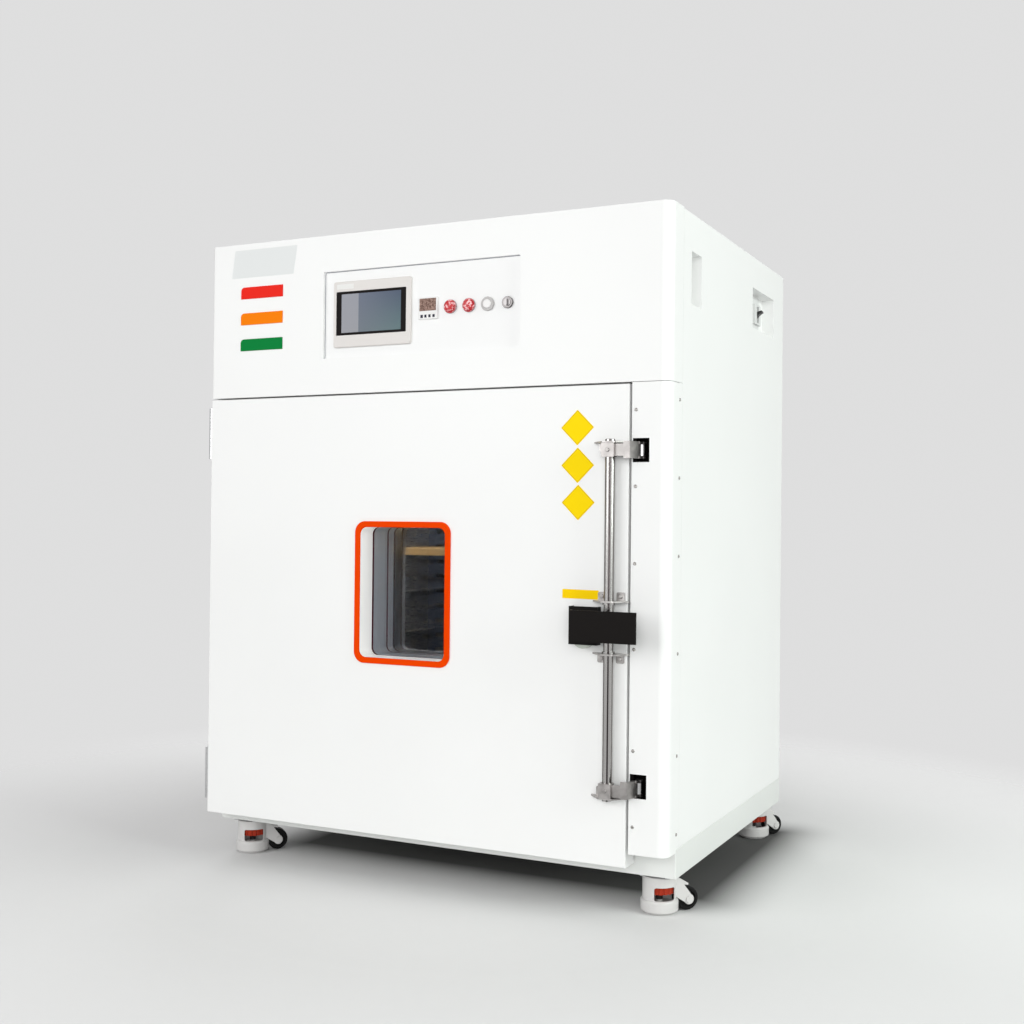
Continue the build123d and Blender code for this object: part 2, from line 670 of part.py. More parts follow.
def alarm_lamps():
    solids = []
    for x in LAMP_XS:
        ring = [(0, PANEL_FRONT + 36), (DEVICE_BODY_R, PANEL_FRONT + 36), (DEVICE_BODY_R, PANEL_FRONT),
                (DEVICE_RING_R, PANEL_FRONT), (DEVICE_RING_R, DEVICE_FRONT + 1), (DEVICE_RING_R - 1, DEVICE_FRONT),
                (12.5, DEVICE_FRONT), (12.5, DEVICE_FRONT + 3), (0, DEVICE_FRONT + 3)]
        solids.append(round_about_y(x, DEVICE_Z, ring))
        lens = [(0, DEVICE_FRONT + 3), (12.2, DEVICE_FRONT + 3), (12.2, DEVICE_FRONT - 3), (11.2, DEVICE_FRONT - 5.4),
                (8.5, DEVICE_FRONT - 6.8), (4.5, DEVICE_FRONT - 7.6), (0, DEVICE_FRONT - 7.8)]
        solids.append(round_about_y(x, DEVICE_Z, lens))
    return solids


def signal_lamps():
    solids = []
    for z in SIGNAL_ZS:
        lens = along_y(signal_sketch(z, 0), -SIGNAL_PROUD, SHEET + 3)
        solids.append(lens + along_y(signal_sketch(z, 5), SHEET, SHEET + 3))
    return solids


def switch_bezels():
    solids = []
    well = DEVICE_FRONT + 9
    for x, ring_r, bore_r in ((BUTTON_X, DEVICE_RING_R, BUTTON_CAP_R + 0.4), (SWITCH_X, SWITCH_RING_R, 8.4)):
        ring = [(0, PANEL_FRONT + 40), (DEVICE_BODY_R, PANEL_FRONT + 40), (DEVICE_BODY_R, PANEL_FRONT),
                (ring_r, PANEL_FRONT), (ring_r, DEVICE_FRONT + 1), (ring_r - 1, DEVICE_FRONT),
                (bore_r, DEVICE_FRONT), (bore_r, well), (0, well)]
        solids.append(round_about_y(x, DEVICE_Z, ring))
    return solids


def light_button():
    front = DEVICE_FRONT - 1.5
    back = DEVICE_FRONT + 9 - BUTTON_TRAVEL - 0.3
    cap = [(0, back), (BUTTON_CAP_R, back), (BUTTON_CAP_R, front + 0.8), (BUTTON_CAP_R - 0.8, front), (0, front)]
    return round_about_y(BUTTON_X, DEVICE_Z, cap)


def power_switch():
    knob = along_y(disc(SWITCH_X, DEVICE_Z, 8.0), DEVICE_FRONT - 1, DEVICE_FRONT + 8.7)
    grip = rect(SWITCH_X - 1.8, SWITCH_X + 1.8, DEVICE_Z - 7, DEVICE_Z + 7, 1.7)
    return knob + along_y(grip, DEVICE_FRONT - 6, DEVICE_FRONT)


def latch_column():
    x0 = COLUMN_X
    t = SHEET
    sketch = cover_outline(x0, CASE_W, 0, SIDE_LAP, 2, RIGHT_CORNER_R)
    sketch -= cover_outline(x0 + t, CASE_W - t, t, SIDE_LAP + 5, 0.5, RIGHT_CORNER_R - t)
    sketch -= rect(x0 - 1, x0 + t + 0.1, FRONT_T, SIDE_LAP + 1)
    sketch += rect(x0, x0 + COLUMN_FOOT, FRONT_T - t, FRONT_T)
    column = along_z(sketch, COLUMN_Z, COLUMN_TOP)
    floor = cover_outline(x0, CASE_W, 0, FRONT_T, 2, RIGHT_CORNER_R)
    column += along_z(floor, COLUMN_Z, COLUMN_Z + t)
    column -= block(x0 - 1, CASE_W + 1, FRONT_T, SIDE_LAP + 1, COLUMN_Z - 1, DECK_Z)
    for z in (UPPER_CUTOUT_Z, LOWER_CUTOUT_Z):
        column -= block(CUTOUT_X, CUTOUT_X + CUTOUT_W, -1, t + 1, z - CUTOUT_H / 2, z + CUTOUT_H / 2)
    return column


def lip_end():
    # How far the keeper's lip may reach, so that the roller still passes it on its arc
    free = ROLLER_REACH - ROLLER_R - LIP_CLEAR
    back = -ROD_Y + SHEET + KEEPER_T
    return ROD_X + math.sqrt(free * free - back * back)


def latch_keepers():
    # Behind each cut-out sits an open box; the lip at its left holds the roller back
    t = KEEPER_T
    x0 = COLUMN_X + SHEET
    x1 = x0 + KEEPER_W
    y0 = SHEET
    y1 = SHEET + KEEPER_D
    solids = []
    for z in (UPPER_CUTOUT_Z, LOWER_CUTOUT_Z):
        z0 = z - CUTOUT_H / 2 - KEEPER_LAP
        z1 = z + CUTOUT_H / 2 + KEEPER_LAP
        keeper = block(x0, x1, y0, y1, z0, z1) - block(x0 + t, x1 - t, y0 - 1, y1 - t, z0 + t, z1 - t)
        solids.append(keeper + block(x0, lip_end(), y0, y0 + t, z0, z1))
    return solids


def fan_baffle():
    sketch = rect(CHAMBER_X, CHAMBER_X1, CHAMBER_Z, CHAMBER_TOP)
    reach = FAN_EYE_R + OUTLET_H
    intake_rows = int((reach - INTAKE_PITCH / 2) // INTAKE_PITCH)
    for row in range(-intake_rows, intake_rows + 1):
        half = math.sqrt(reach ** 2 - (row * INTAKE_PITCH) ** 2)
        sketch -= Pos(FAN_X, FAN_Z + row * INTAKE_PITCH) * SlotOverall(2 * half, INTAKE_PITCH / 2)
    rows = int((CHAMBER_H / 2 - OUTLET_PITCH) // OUTLET_PITCH)
    for row in range(-rows, rows + 1):
        for inset in OUTLET_INSETS:
            for x in (CHAMBER_X + inset, CHAMBER_X1 - inset):
                sketch -= Pos(x, FAN_Z + row * OUTLET_PITCH) * SlotOverall(OUTLET_L, OUTLET_H)
    return along_y(sketch, BAFFLE_Y, BAFFLE_Y + LINER_SHEET)


def shelf_rails():
    solids = []
    for side in (0, 1):
        wall = CHAMBER_X1 if side else CHAMBER_X
        inward = -1 if side else 1
        tip = wall + inward * RAIL_W
        post = wall + inward * RAIL_T
        rack = None
        for y in (RAIL_Y0 + 40, RAIL_Y1 - 60):
            upright = block(min(wall, post), max(wall, post), y, y + 20, CHAMBER_Z, CHAMBER_TOP)
            rack = upright if rack is None else rack + upright
        for level in range(RAIL_LEVELS):
            z = RAIL_FIRST_Z + level * RAIL_PITCH
            rack += block(min(wall, tip), max(wall, tip), RAIL_Y0, RAIL_Y1, z - RAIL_T, z)
            rack += block(min(wall, post), max(wall, post), RAIL_Y0, RAIL_Y1, z - 14, z)
        solids.append(rack)
    return solids


def wire_shelf(z):
    level = z + SHELF_ROD_R + FIT
    inset = SHELF_SIDE_GAP + SHELF_ROD_R
    x0 = CHAMBER_X + inset
    x1 = CHAMBER_X1 - inset
    y0 = SHELF_Y0 + SHELF_ROD_R
    y1 = SHELF_Y0 + SHELF_D - SHELF_ROD_R
    loop = (Pos(0, 0, level) * rect(x0, x1, y0, y1, SHELF_CORNER_R)).wire()
    section = Plane(origin=loop @ 0, z_dir=loop % 0) * Circle(SHELF_ROD_R)
    shelf = sweep(section, path=loop)
    for index in range(SHELF_WIRES):
        x = x0 + (x1 - x0) * (index + 1) / (SHELF_WIRES + 1)
        shelf += along_y(disc(x, level, SHELF_WIRE_R), y0, y1)
    for y in (y0 + SHELF_D * 0.33, y0 + SHELF_D * 0.66):
        shelf += along_x(disc(y, level, SHELF_WIRE_R + 0.5), x0, x1)
    inner = RAIL_W + SHELF_LIP_GAP
    lip = rect(CHAMBER_X + inner, CHAMBER_X1 - inner, level - SHELF_LIP_H / 2, level + SHELF_LIP_H / 2, 2)
    return shelf + along_y(lip, SHELF_Y0, SHELF_Y0 + SHELF_LIP_T)


def fan_impeller():
    wheel = along_y(disc(FAN_X, FAN_Z, FAN_R), FAN_Y1 - 2, FAN_Y1)
    wheel += along_y(disc(FAN_X, FAN_Z, FAN_R) - disc(FAN_X, FAN_Z, FAN_EYE_R), FAN_Y0, FAN_Y0 + 2)
    wheel += along_y(disc(FAN_X, FAN_Z, 20), FAN_Y0 + 14, FAN_Y1 + 6)
    wheel += along_y(disc(FAN_X, FAN_Z, SHAFT_R), FAN_Y0 + 8, INS_BACK + MOTOR_PLATE_T + 30)
    outer = ThreePointArc((FAN_R - 2, 0), (FAN_R - 24, 9), (FAN_R - 42, 26))
    inner = ThreePointArc((FAN_R - 41, 28), (FAN_R - 25, 11), (FAN_R - 2, 1.6))
    edge_a = Line((FAN_R - 42, 26), (FAN_R - 41, 28))
    edge_b = Line((FAN_R - 2, 1.6), (FAN_R - 2, 0))
    blade = make_face(outer + edge_a + inner + edge_b)
    for index in range(BLADE_COUNT):
        angle = index * 360.0 / BLADE_COUNT
        wheel += along_y(Pos(FAN_X, FAN_Z) * Rot(0, 0, angle) * blade, FAN_Y0 + 1, FAN_Y1 - 1)
    return wheel


def fan_motor():
    front = INS_BACK + MOTOR_PLATE_T
    half = MOTOR_PLATE / 2
    plate = along_y(rect(FAN_X - half, FAN_X + half, FAN_Z - half, FAN_Z + half, 8) - disc(FAN_X, FAN_Z, SHAFT_HOLE_R), INS_BACK, front)
    body = along_y(disc(FAN_X, FAN_Z, MOTOR_R - 6), front, front + MOTOR_LEN)
    for index in range(6):
        y = front + 8 + index * 10
        body += along_y(disc(FAN_X, FAN_Z, MOTOR_R), y, y + 4)
    body += along_y(disc(FAN_X, FAN_Z, MOTOR_R), front, front + 5)
    body += block(FAN_X - 25, FAN_X + 25, front + 12, front + 56, FAN_Z + MOTOR_R - 12, FAN_Z + MOTOR_R + 22)
    body -= along_y(disc(FAN_X, FAN_Z, SHAFT_R + SHAFT_CLEAR), front - 1, front + 34)
    return [plate, body]


def heater_elements():
    solids = []
    spots = heater_leg_spots()
    for index, radius in enumerate(HEATER_RADII):
        sweep_deg = 360 - 2 * HEATER_OPEN_DEG
        start = -90 + HEATER_OPEN_DEG
        plane = Plane(origin=(FAN_X, HEATER_Y, FAN_Z), x_dir=(1, 0, 0), z_dir=(0, -1, 0))
        arc = plane * CenterArc((0, 0), radius, start, sweep_deg)
        ring = sweep(Plane(origin=arc @ 0, z_dir=arc % 0) * Circle(HEATER_R), path=arc)
        for x, z in spots[2 * index:2 * index + 2]:
            ring += along_y(disc(x, z, HEATER_R), HEATER_Y, INS_BACK + 25)
            ring += Pos(x, HEATER_Y, z) * Sphere(HEATER_R)
        solids.append(ring)
    return solids


def main_breaker():
    half_w = BREAKER_W / 2
    half_h = BREAKER_H / 2
    face = POCKET_BACK + BREAKER_PROUD
    body = block(POCKET_BACK - BREAKER_BODY_D, face - 6, BREAKER_Y - half_w, BREAKER_Y + half_w,
                 BREAKER_Z - half_h, BREAKER_Z + half_h)
    body += block(face - 7, face, BREAKER_Y - half_w, BREAKER_Y + half_w, BREAKER_Z - 24, BREAKER_Z + 24)
    slot = TOGGLE_W / 2 + 1
    return body - block(TOGGLE_X - TOGGLE_R - 2, face + 1, BREAKER_Y - slot, BREAKER_Y + slot, BREAKER_Z - 20, BREAKER_Z + 20)


def breaker_toggle():
    half = TOGGLE_W / 2
    hub = along_y(disc(TOGGLE_X, BREAKER_Z, TOGGLE_R), BREAKER_Y - half, BREAKER_Y + half)
    lever = shape_of([(TOGGLE_X, BREAKER_Z - 5), (TOGGLE_X + TOGGLE_LEN, BREAKER_Z - 2.5),
                      (TOGGLE_X + TOGGLE_LEN, BREAKER_Z + 2.5), (TOGGLE_X, BREAKER_Z + 5)])
    lever = along_y(lever, BREAKER_Y - half, BREAKER_Y + half)
    axis = Axis((TOGGLE_X, BREAKER_Y, BREAKER_Z), (0, -1, 0))
    stubs = along_y(disc(TOGGLE_X, BREAKER_Z, 2.5), BREAKER_Y - half - 0.7, BREAKER_Y + half + 0.7)
    return hub + turned(lever, axis, TOGGLE_TILT) + stubs


def cable_gland():
    x, z = GLAND_X, GLAND_Z
    thread = GLAND_BODY_R - 3
    gland = along_y(Pos(x, z) * RegularPolygon(GLAND_BODY_R + 1.5, 6), CASE_D, CASE_D + 7)
    gland += along_y(disc(x, z, GLAND_BODY_R - 1), CASE_D + 6, CASE_D + GLAND_OUT - 6)
    gland += along_y(disc(x, z, GLAND_BODY_R - 3), CASE_D + 6, CASE_D + GLAND_OUT)
    gland += along_y(disc(x, z, thread), CASE_D - 14, CASE_D + 2)
    gland += along_y(Pos(x, z) * RegularPolygon(GLAND_BODY_R + 1.5, 6), CASE_D - SHEET - 5, CASE_D - SHEET)
    return gland - along_y(disc(x, z, GLAND_R), CASE_D - 20, CASE_D + GLAND_OUT + 5)


# Door, hinges and the pieces that the door carries
def door_shell():
    shell = block(0, DOOR_W, 0, DOOR_T, DOOR_Z, DOOR_TOP)
    shell = fillet(shell.faces().sort_by(Axis.Y)[0].edges(), DOOR_EDGE_R)
    t = DOOR_SKIN
    shell -= block(t, DOOR_W - t, t, DOOR_T + 1, DOOR_Z + t, DOOR_TOP - t)
    return shell - along_y(window_sketch(SPACER_WALL + FIT, WINDOW_R + SPACER_WALL), -1, DOOR_T)


def door_plug():
    t = DOOR_SKIN
    plate = block(t, DOOR_W - t, DOOR_T - PLUG_SHEET, DOOR_T, DOOR_Z + t, DOOR_TOP - t)
    plug = plate + tapered_plug(0, PLUG_END)
    plug -= tapered_plug(PLUG_SHEET, PLUG_END - PLUG_SHEET)
    return plug - along_y(window_sketch(0, WINDOW_R), PLUG_END - 5, PLUG_END + 1)


def door_insulation():
    t = DOOR_SKIN
    body = block(t, DOOR_W - t, t, DOOR_T - PLUG_SHEET, DOOR_Z + t, DOOR_TOP - t)
    body += tapered_plug(PLUG_SHEET, PLUG_END - PLUG_SHEET)
    return body - along_y(window_sketch(SPACER_WALL, WINDOW_R + SPACER_WALL), 0, PLUG_END)


def door_gasket():
    out = GASKET_OUT + GASKET_W
    outer = rect(CHAMBER_X - out, CHAMBER_X1 + out, CHAMBER_Z - out, CHAMBER_TOP + out, 14 + GASKET_W)
    inner = rect(CHAMBER_X - GASKET_OUT, CHAMBER_X1 + GASKET_OUT, CHAMBER_Z - GASKET_OUT, CHAMBER_TOP + GASKET_OUT, 14)
    ring = along_y(outer - inner, DOOR_T, FRONT_T - GASKET_NIP)
    return fillet(ring.faces().sort_by(Axis.Y)[-1].edges(), GASKET_R)


def window_trim():
    ring = along_y(window_sketch(TRIM_W, 25) - window_sketch(0, WINDOW_R), -TRIM_PROUD, 0)
    return fillet(ring.faces().sort_by(Axis.Y)[0].edges(), 1.8)


def window_panes():
    sketch = window_sketch(SPACER_WALL, WINDOW_R + SPACER_WALL)
    return [along_y(sketch, y, y + PANE_T) for y in PANE_DEPTHS]


def window_spacers():
    ring = window_sketch(SPACER_WALL, WINDOW_R + SPACER_WALL) - window_sketch(0, WINDOW_R)
    starts = (0.0,) + tuple(y + PANE_T for y in PANE_DEPTHS)
    ends = PANE_DEPTHS + (PLUG_END - PLUG_SHEET,)
    return [along_y(ring, y0, y1) for y0, y1 in zip(starts, ends)]


def knuckle_bands(centre_z):
    # Five knuckles share the hinge's height: the cabinet's at the ends and in the middle
    step = HINGE_H / 5
    base = centre_z - HINGE_H / 2
    bands = []
    for index in range(5):
        z0 = base + index * step
        gap = KNUCKLE_GAP / 2
        bands.append((z0 + gap, z0 + step - gap))
    return bands


def hinge_door_leaves():
    solids = []
    t = HINGE_LEAF_T
    for z in (UPPER_HINGE_Z, LOWER_HINGE_Z):
        leaf = block(-t, 0, 6, DOOR_T - 5, z - HINGE_H / 2, z + HINGE_H / 2)
        web = rect(PIN_X, -t, PIN_Y - 5, PIN_Y + 5) + disc(PIN_X, PIN_Y, KNUCKLE_R)
        bore = disc(PIN_X, PIN_Y, PIN_R + PIN_CLEAR)
        for z0, z1 in knuckle_bands(z)[1::2]:
            leaf += along_z(web - bore, z0, z1)
        solids.append(leaf)
    return solids


def hinge_cabinet_leaves():
    solids = []
    t = HINGE_LEAF_T
    for z in (UPPER_HINGE_Z, LOWER_HINGE_Z):
        leaf = block(-t, 0, CAB_LEAF_Y0, CAB_LEAF_Y0 + HINGE_LEAF_W, z - HINGE_H / 2, z + HINGE_H / 2)
        arm = shape_of([(PIN_X - 8, PIN_Y), (-t - 1.2, PIN_Y), (-t - 1.2, CAB_LEAF_Y0 - 1), (-t, CAB_LEAF_Y0),
                        (-t, CAB_LEAF_Y0 + 16), (PIN_X - 2, CAB_LEAF_Y0 - 8)])
        knuckle = arm - rect(PIN_X + 7, 0, PIN_Y - 20, PIN_Y + KNUCKLE_R) + disc(PIN_X, PIN_Y, KNUCKLE_R)
        for z0, z1 in knuckle_bands(z)[0::2]:
            leaf += along_z(knuckle, z0, z1)
        leaf += along_z(disc(PIN_X, PIN_Y, PIN_R), z - HINGE_H / 2, z + HINGE_H / 2 + 4)
        solids.append(leaf)
    return solids


def screw_head(x, z, r, y_seat, h):
    return fillet(along_y(disc(x, z, r), y_seat - h, y_seat).faces().sort_by(Axis.Y)[0].edges(), h * 0.45)


def rod_guide(tab_z, side):
    # An angle bracket: two screwed ears on the door, and a tab with a wide back and a rounded nose
    # through which the rod passes. The ears stand above the tab where side is 1, below it where it is -1
    t = GUIDE_T
    front = ROD_Y - GUIDE_TAB_OUT
    wide = GUIDE_TAB_HALF_W
    outline = [(ROD_X - wide, 0), (ROD_X - wide, -t - 1), (ROD_X - GUIDE_TAB_NOSE, front),
               (ROD_X + GUIDE_TAB_NOSE, front), (ROD_X + wide, -t - 1), (ROD_X + wide, 0)]
    tab = shape_of(outline)
    tab = fillet(tab.vertices().group_by(Axis.Y)[0], GUIDE_TAB_NOSE - 2)
    guide = along_z(tab - disc(ROD_X, ROD_Y, ROD_R + ROD_CLEAR), *sorted((tab_z, tab_z + side * t)))
    for way in (-1, 1):
        x0, x1 = sorted((ROD_X + way * GUIDE_HALF_W, ROD_X + way * (GUIDE_HALF_W - GUIDE_EAR_W)))
        ear = rect(x0, x1, *sorted((tab_z, tab_z + side * GUIDE_EAR_H)), 3)
        ear += rect(x0, x1, *sorted((tab_z, tab_z + side * GUIDE_EAR_H / 2)))
        guide += along_y(ear, -t, 0)
        guide += screw_head((x0 + x1) / 2, tab_z + side * (GUIDE_EAR_H + t) / 2, 4.2, -t + 0.2, 3.2)
    return guide


def lower_tab_z():
    return ARM_LOWER_Z - HUB_H / 2 - FIT - GUIDE_T


def upper_tab_z():
    return ARM_UPPER_Z + HUB_H / 2 + FIT + GUIDE_T


def latch_brackets():
    solids = [rod_guide(lower_tab_z(), 1), rod_guide(upper_tab_z(), -1)]
    solids += [rod_guide(GUIDE_UPPER_Z, 1), rod_guide(GUIDE_LOWER_Z, -1)]
    t = REST_T
    x0 = REST_X - REST_W / 2
    x1 = REST_X + REST_W / 2
    plan = rect(x0, x1, REST_FACE_Y, 0) - rect(x0 + t, x1 - t, REST_FACE_Y + t, 1)
    solids.append(along_z(plan, REST_Z - REST_H / 2, REST_Z + REST_H / 2))
    buffer_z = REST_Z - REST_H / 2 - BUFFER_DROP + BUFFER_R
    solids.append(along_y(disc(REST_X - 2, buffer_z, BUFFER_R), REST_FACE_Y + t, 0))
    return solids


def latch_rod():
    rod = along_z(disc(ROD_X, ROD_Y, ROD_R), lower_tab_z() - 5, upper_tab_z() + 5)
    rod = chamfer(rod.edges().filter_by(GeomType.CIRCLE), 1.0)
    collar = disc(ROD_X, ROD_Y, COLLAR_R)
    rod += along_z(collar, GUIDE_UPPER_Z - FIT - COLLAR_H, GUIDE_UPPER_Z - FIT)
    return rod + along_z(collar, GUIDE_LOWER_Z + FIT, GUIDE_LOWER_Z + FIT + COLLAR_H)


def roller_centre():
    angle = math.radians(ROLLER_ANGLE)
    return ROD_X + ROLLER_REACH * math.cos(angle), ROD_Y + ROLLER_REACH * math.sin(angle)


def latch_arms():
    # Each arm is a clamp block on the rod, a flat strip, a taller bent leg that reaches through the
    # cut-out, and two ears that hold the roller's pin
    solids = []
    rx, ry = roller_centre()
    t = ARM_T
    lt = ARM_LEG_T
    corner_x = ROD_X + 45
    leg_x = ROD_X + 54
    front_y = ROD_Y - 7
    face = front_y - t / 2 - lt
    bore = disc(ROD_X, ROD_Y, ROD_R)
    hub = disc(ROD_X, ROD_Y, HUB_R) + rect(ROD_X - HUB_R, ROD_X + HUB_R, ROD_Y - HUB_FRONT, ROD_Y)
    strip = rect(ROD_X + 8, corner_x - 1, front_y - t / 2, front_y + t / 2)
    outer_x = leg_x + t * 0.55
    inner_x = leg_x - t * 0.5
    leg = shape_of([(corner_x - 12, face), (corner_x + 1.5, face), (outer_x, 2), (outer_x, 2.6),
                    (inner_x, 2.6), (inner_x, 1.8), (corner_x - 2.5, face + lt), (corner_x - 12, face + lt)])
    ear = shape_of([(inner_x, -2), (outer_x, -2), (rx + 7, ry), (rx - 5, ry)]) + disc(rx, ry, ROLLER_R - 2)
    ear_t = (ARM_LEG_H - ROLLER_H) / 2 - FIT
    for z, leg_z in ((ARM_UPPER_Z, UPPER_LEG_Z), (ARM_LOWER_Z, LOWER_LEG_Z)):
        low = leg_z - ARM_LEG_H / 2
        high = leg_z + ARM_LEG_H / 2
        arm = along_z(hub - bore, z - HUB_H / 2, z + HUB_H / 2)
        arm += along_z(strip - bore, z - ARM_H / 2, z + ARM_H / 2)
        arm += along_z(leg, low, high)
        arm += along_z(ear, low, low + ear_t)
        arm += along_z(ear, high - ear_t, high)
        arm += along_z(disc(rx, ry, ROLLER_PIN_R), low, high)
        arm += screw_head(ROD_X, z, 4.0, ROD_Y - HUB_FRONT + 0.2, 2.4)
        solids.append(arm)
    return solids


def latch_roller(z):
    rx, ry = roller_centre()
    ring = disc(rx, ry, ROLLER_R) - disc(rx, ry, ROLLER_PIN_R + PIN_CLEAR)
    roller = along_z(ring, z - ROLLER_H / 2, z + ROLLER_H / 2)
    rims = [edge for edge in roller.edges().filter_by(GeomType.CIRCLE) if edge.radius > ROLLER_R - 0.1]
    return chamfer(rims, 1.0)


def latch_handle():
    x0 = ROD_X - LEVER_LEFT
    x1 = ROD_X + LEVER_RIGHT
    z0 = LEVER_Z - LEVER_H / 2
    z1 = LEVER_Z + LEVER_H / 2
    fold = rect(x0, x1, LEVER_Y, LEVER_Y + LEVER_T) + rect(x0, x0 + LEVER_T, LEVER_Y, LEVER_Y + LEVER_LIP)
    plate = along_z(fold, z0, z1)
    neck = rect(ROD_X - 11, ROD_X + 11, LEVER_Y + LEVER_T - 1, ROD_Y) + disc(ROD_X, ROD_Y, ROD_R + 3)
    return plate + along_z(neck - disc(ROD_X, ROD_Y, ROD_R), LEVER_Z - 19, LEVER_Z + 19)


# Levelling casters, drawn about their own swivel axis with the wheel towards +x
def caster_top_plate():
    half = PLATE_SIZE / 2
    plate = along_z(rect(-half, half, -half, half, 7), CASTER_H - PLATE_T, CASTER_H)
    plate += along_z(disc(0, 0, SPIGOT_R + 10), CASTER_H - PLATE_T - RACE_H, CASTER_H - PLATE_T)
    plate += along_z(disc(0, 0, SPIGOT_R), SPIGOT_Z, CASTER_H - PLATE_T)
    for dx in (-PLATE_BOLTS / 2, PLATE_BOLTS / 2):
        for dy in (-PLATE_BOLTS / 2, PLATE_BOLTS / 2):
            plate += along_z(disc(dx, dy, BOLT_R), CASTER_H - 1, CASTER_H + 9)
            plate += along_z(Pos(dx, dy) * RegularPolygon(6.5, 6), CASTER_H - PLATE_T - 3.5, CASTER_H - PLATE_T)
    return plate


def caster_housing():
    top = CASTER_H - PLATE_T - RACE_H - HOUSING_GAP
    room = WHEEL_W / 2 + 0.6
    body = along_z(disc(0, 0, HOUSING_R), HOUSING_Z, top)
    body = fillet(body.edges().filter_by(GeomType.CIRCLE).sort_by(Axis.Z)[-1:], 2.5)
    guard = [(SKIRT_R - 1, GUARD_Z0), (GUARD_R - 1, GUARD_Z0), (GUARD_R, GUARD_Z0 + 1.5), (GUARD_R, GUARD_Z1 - 4),
             (GUARD_R - 1.5, GUARD_Z1 - 1.5), (HOUSING_R, GUARD_Z1), (SKIRT_R - 1, GUARD_Z1)]
    body += revolve(Plane.XZ * shape_of(guard), Axis.Z)
    cheek = shape_of([(12, top - 3), (36, top - 6), (WHEEL_OFFSET + 9, AXLE_Z + 4), (WHEEL_OFFSET - 4, AXLE_Z - 9), (30, AXLE_Z + 6), (12, AXLE_Z + 10)])
    cheek += disc(WHEEL_OFFSET, AXLE_Z, 10.5)
    for side in (-1, 1):
        y0, y1 = sorted((side * room, side * (room + CHEEK_T)))
        body += along_y(cheek, y0, y1)
    roof = shape_of([(12, top - 3), (36, top - 6), (WHEEL_OFFSET, AXLE_Z + WHEEL_R + 8), (WHEEL_OFFSET, AXLE_Z + WHEEL_R + 4), (12, top - 16)])
    body += along_y(roof, -room - 1, room + 1)
    body -= along_z(disc(0, 0, SKIRT_R), GUARD_Z0 - 1, DIAL_CEIL)
    body -= along_z(disc(0, 0, SPIGOT_R + SPIGOT_CLEAR), DIAL_CEIL - 1, top + 1)
    body -= along_y(disc(WHEEL_OFFSET, AXLE_Z, WHEEL_R + WHEEL_ROOM), -room, room)
    pane = rect(-DIAL_WINDOW_W / 2 - 2, DIAL_WINDOW_W / 2 - 2, DIAL_CEIL - 1 - DIAL_WINDOW_H, DIAL_CEIL - 1, 4)
    for side in (-1, 1):
        y0, y1 = sorted((side * 18, side * (HOUSING_R + 2)))
        body -= along_y(pane, y0, y1)
    end = room + CHEEK_T
    body += along_y(disc(WHEEL_OFFSET, AXLE_Z, AXLE_R), -end, end)
    body += along_y(disc(WHEEL_OFFSET, AXLE_Z, 7), -end - 3, -end)
    body += along_y(disc(WHEEL_OFFSET, AXLE_Z, 7), end, end + 3)
    return body


def caster_dial():
    ring = disc(0, 0, DIAL_R) - disc(0, 0, STEM_R + STEM_CLEAR)
    for index in range(DIAL_NOTCHES):
        angle = math.radians(index * 360.0 / DIAL_NOTCHES)
        ring -= disc((DIAL_R + 1) * math.cos(angle), (DIAL_R + 1) * math.sin(angle), 3.0)
    return along_z(ring, DIAL_Z0, DIAL_CEIL - FIT)


def caster_foot():
    profile = [(0, PAD_RUBBER), (PAD_R - 1, PAD_RUBBER), (PAD_R - 1, PAD_RUBBER + 4), (PAD_R - 3, PAD_H), (STEM_R, PAD_H),
               (STEM_R, STEM_TOP - 1), (STEM_R - 1, STEM_TOP), (0, STEM_TOP)]
    metal = revolve(Plane.XZ * Polygon(*profile, align=None), Axis.Z)
    rubber = along_z(disc(0, 0, PAD_R), 0, PAD_RUBBER)
    rubber = fillet(rubber.edges().sort_by(Axis.Z)[0:1], 1.5)
    return [metal, rubber]


def caster_wheel():
    half = WHEEL_W / 2
    tyre = along_y(disc(WHEEL_OFFSET, AXLE_Z, WHEEL_R), -half, half)
    tyre = fillet(tyre.edges().filter_by(GeomType.CIRCLE), 3)
    for side in (-1, 1):
        y0, y1 = sorted((side * (half - 4), side * (half + 1)))
        tyre -= along_y(disc(WHEEL_OFFSET, AXLE_Z, 17) - disc(WHEEL_OFFSET, AXLE_Z, 8), y0, y1)
    return tyre - along_y(disc(WHEEL_OFFSET, AXLE_Z, AXLE_R + AXLE_CLEAR), -half - 1, half + 1)


def caster_place(key):
    x, y = CASTER_SPOTS[key]
    return Pos(x, y, 0) * Rot(0, 0, CASTER_ANGLES[key])


def as_list(shape):
    return list(shape) if isinstance(shape, (list, tuple)) else [shape]


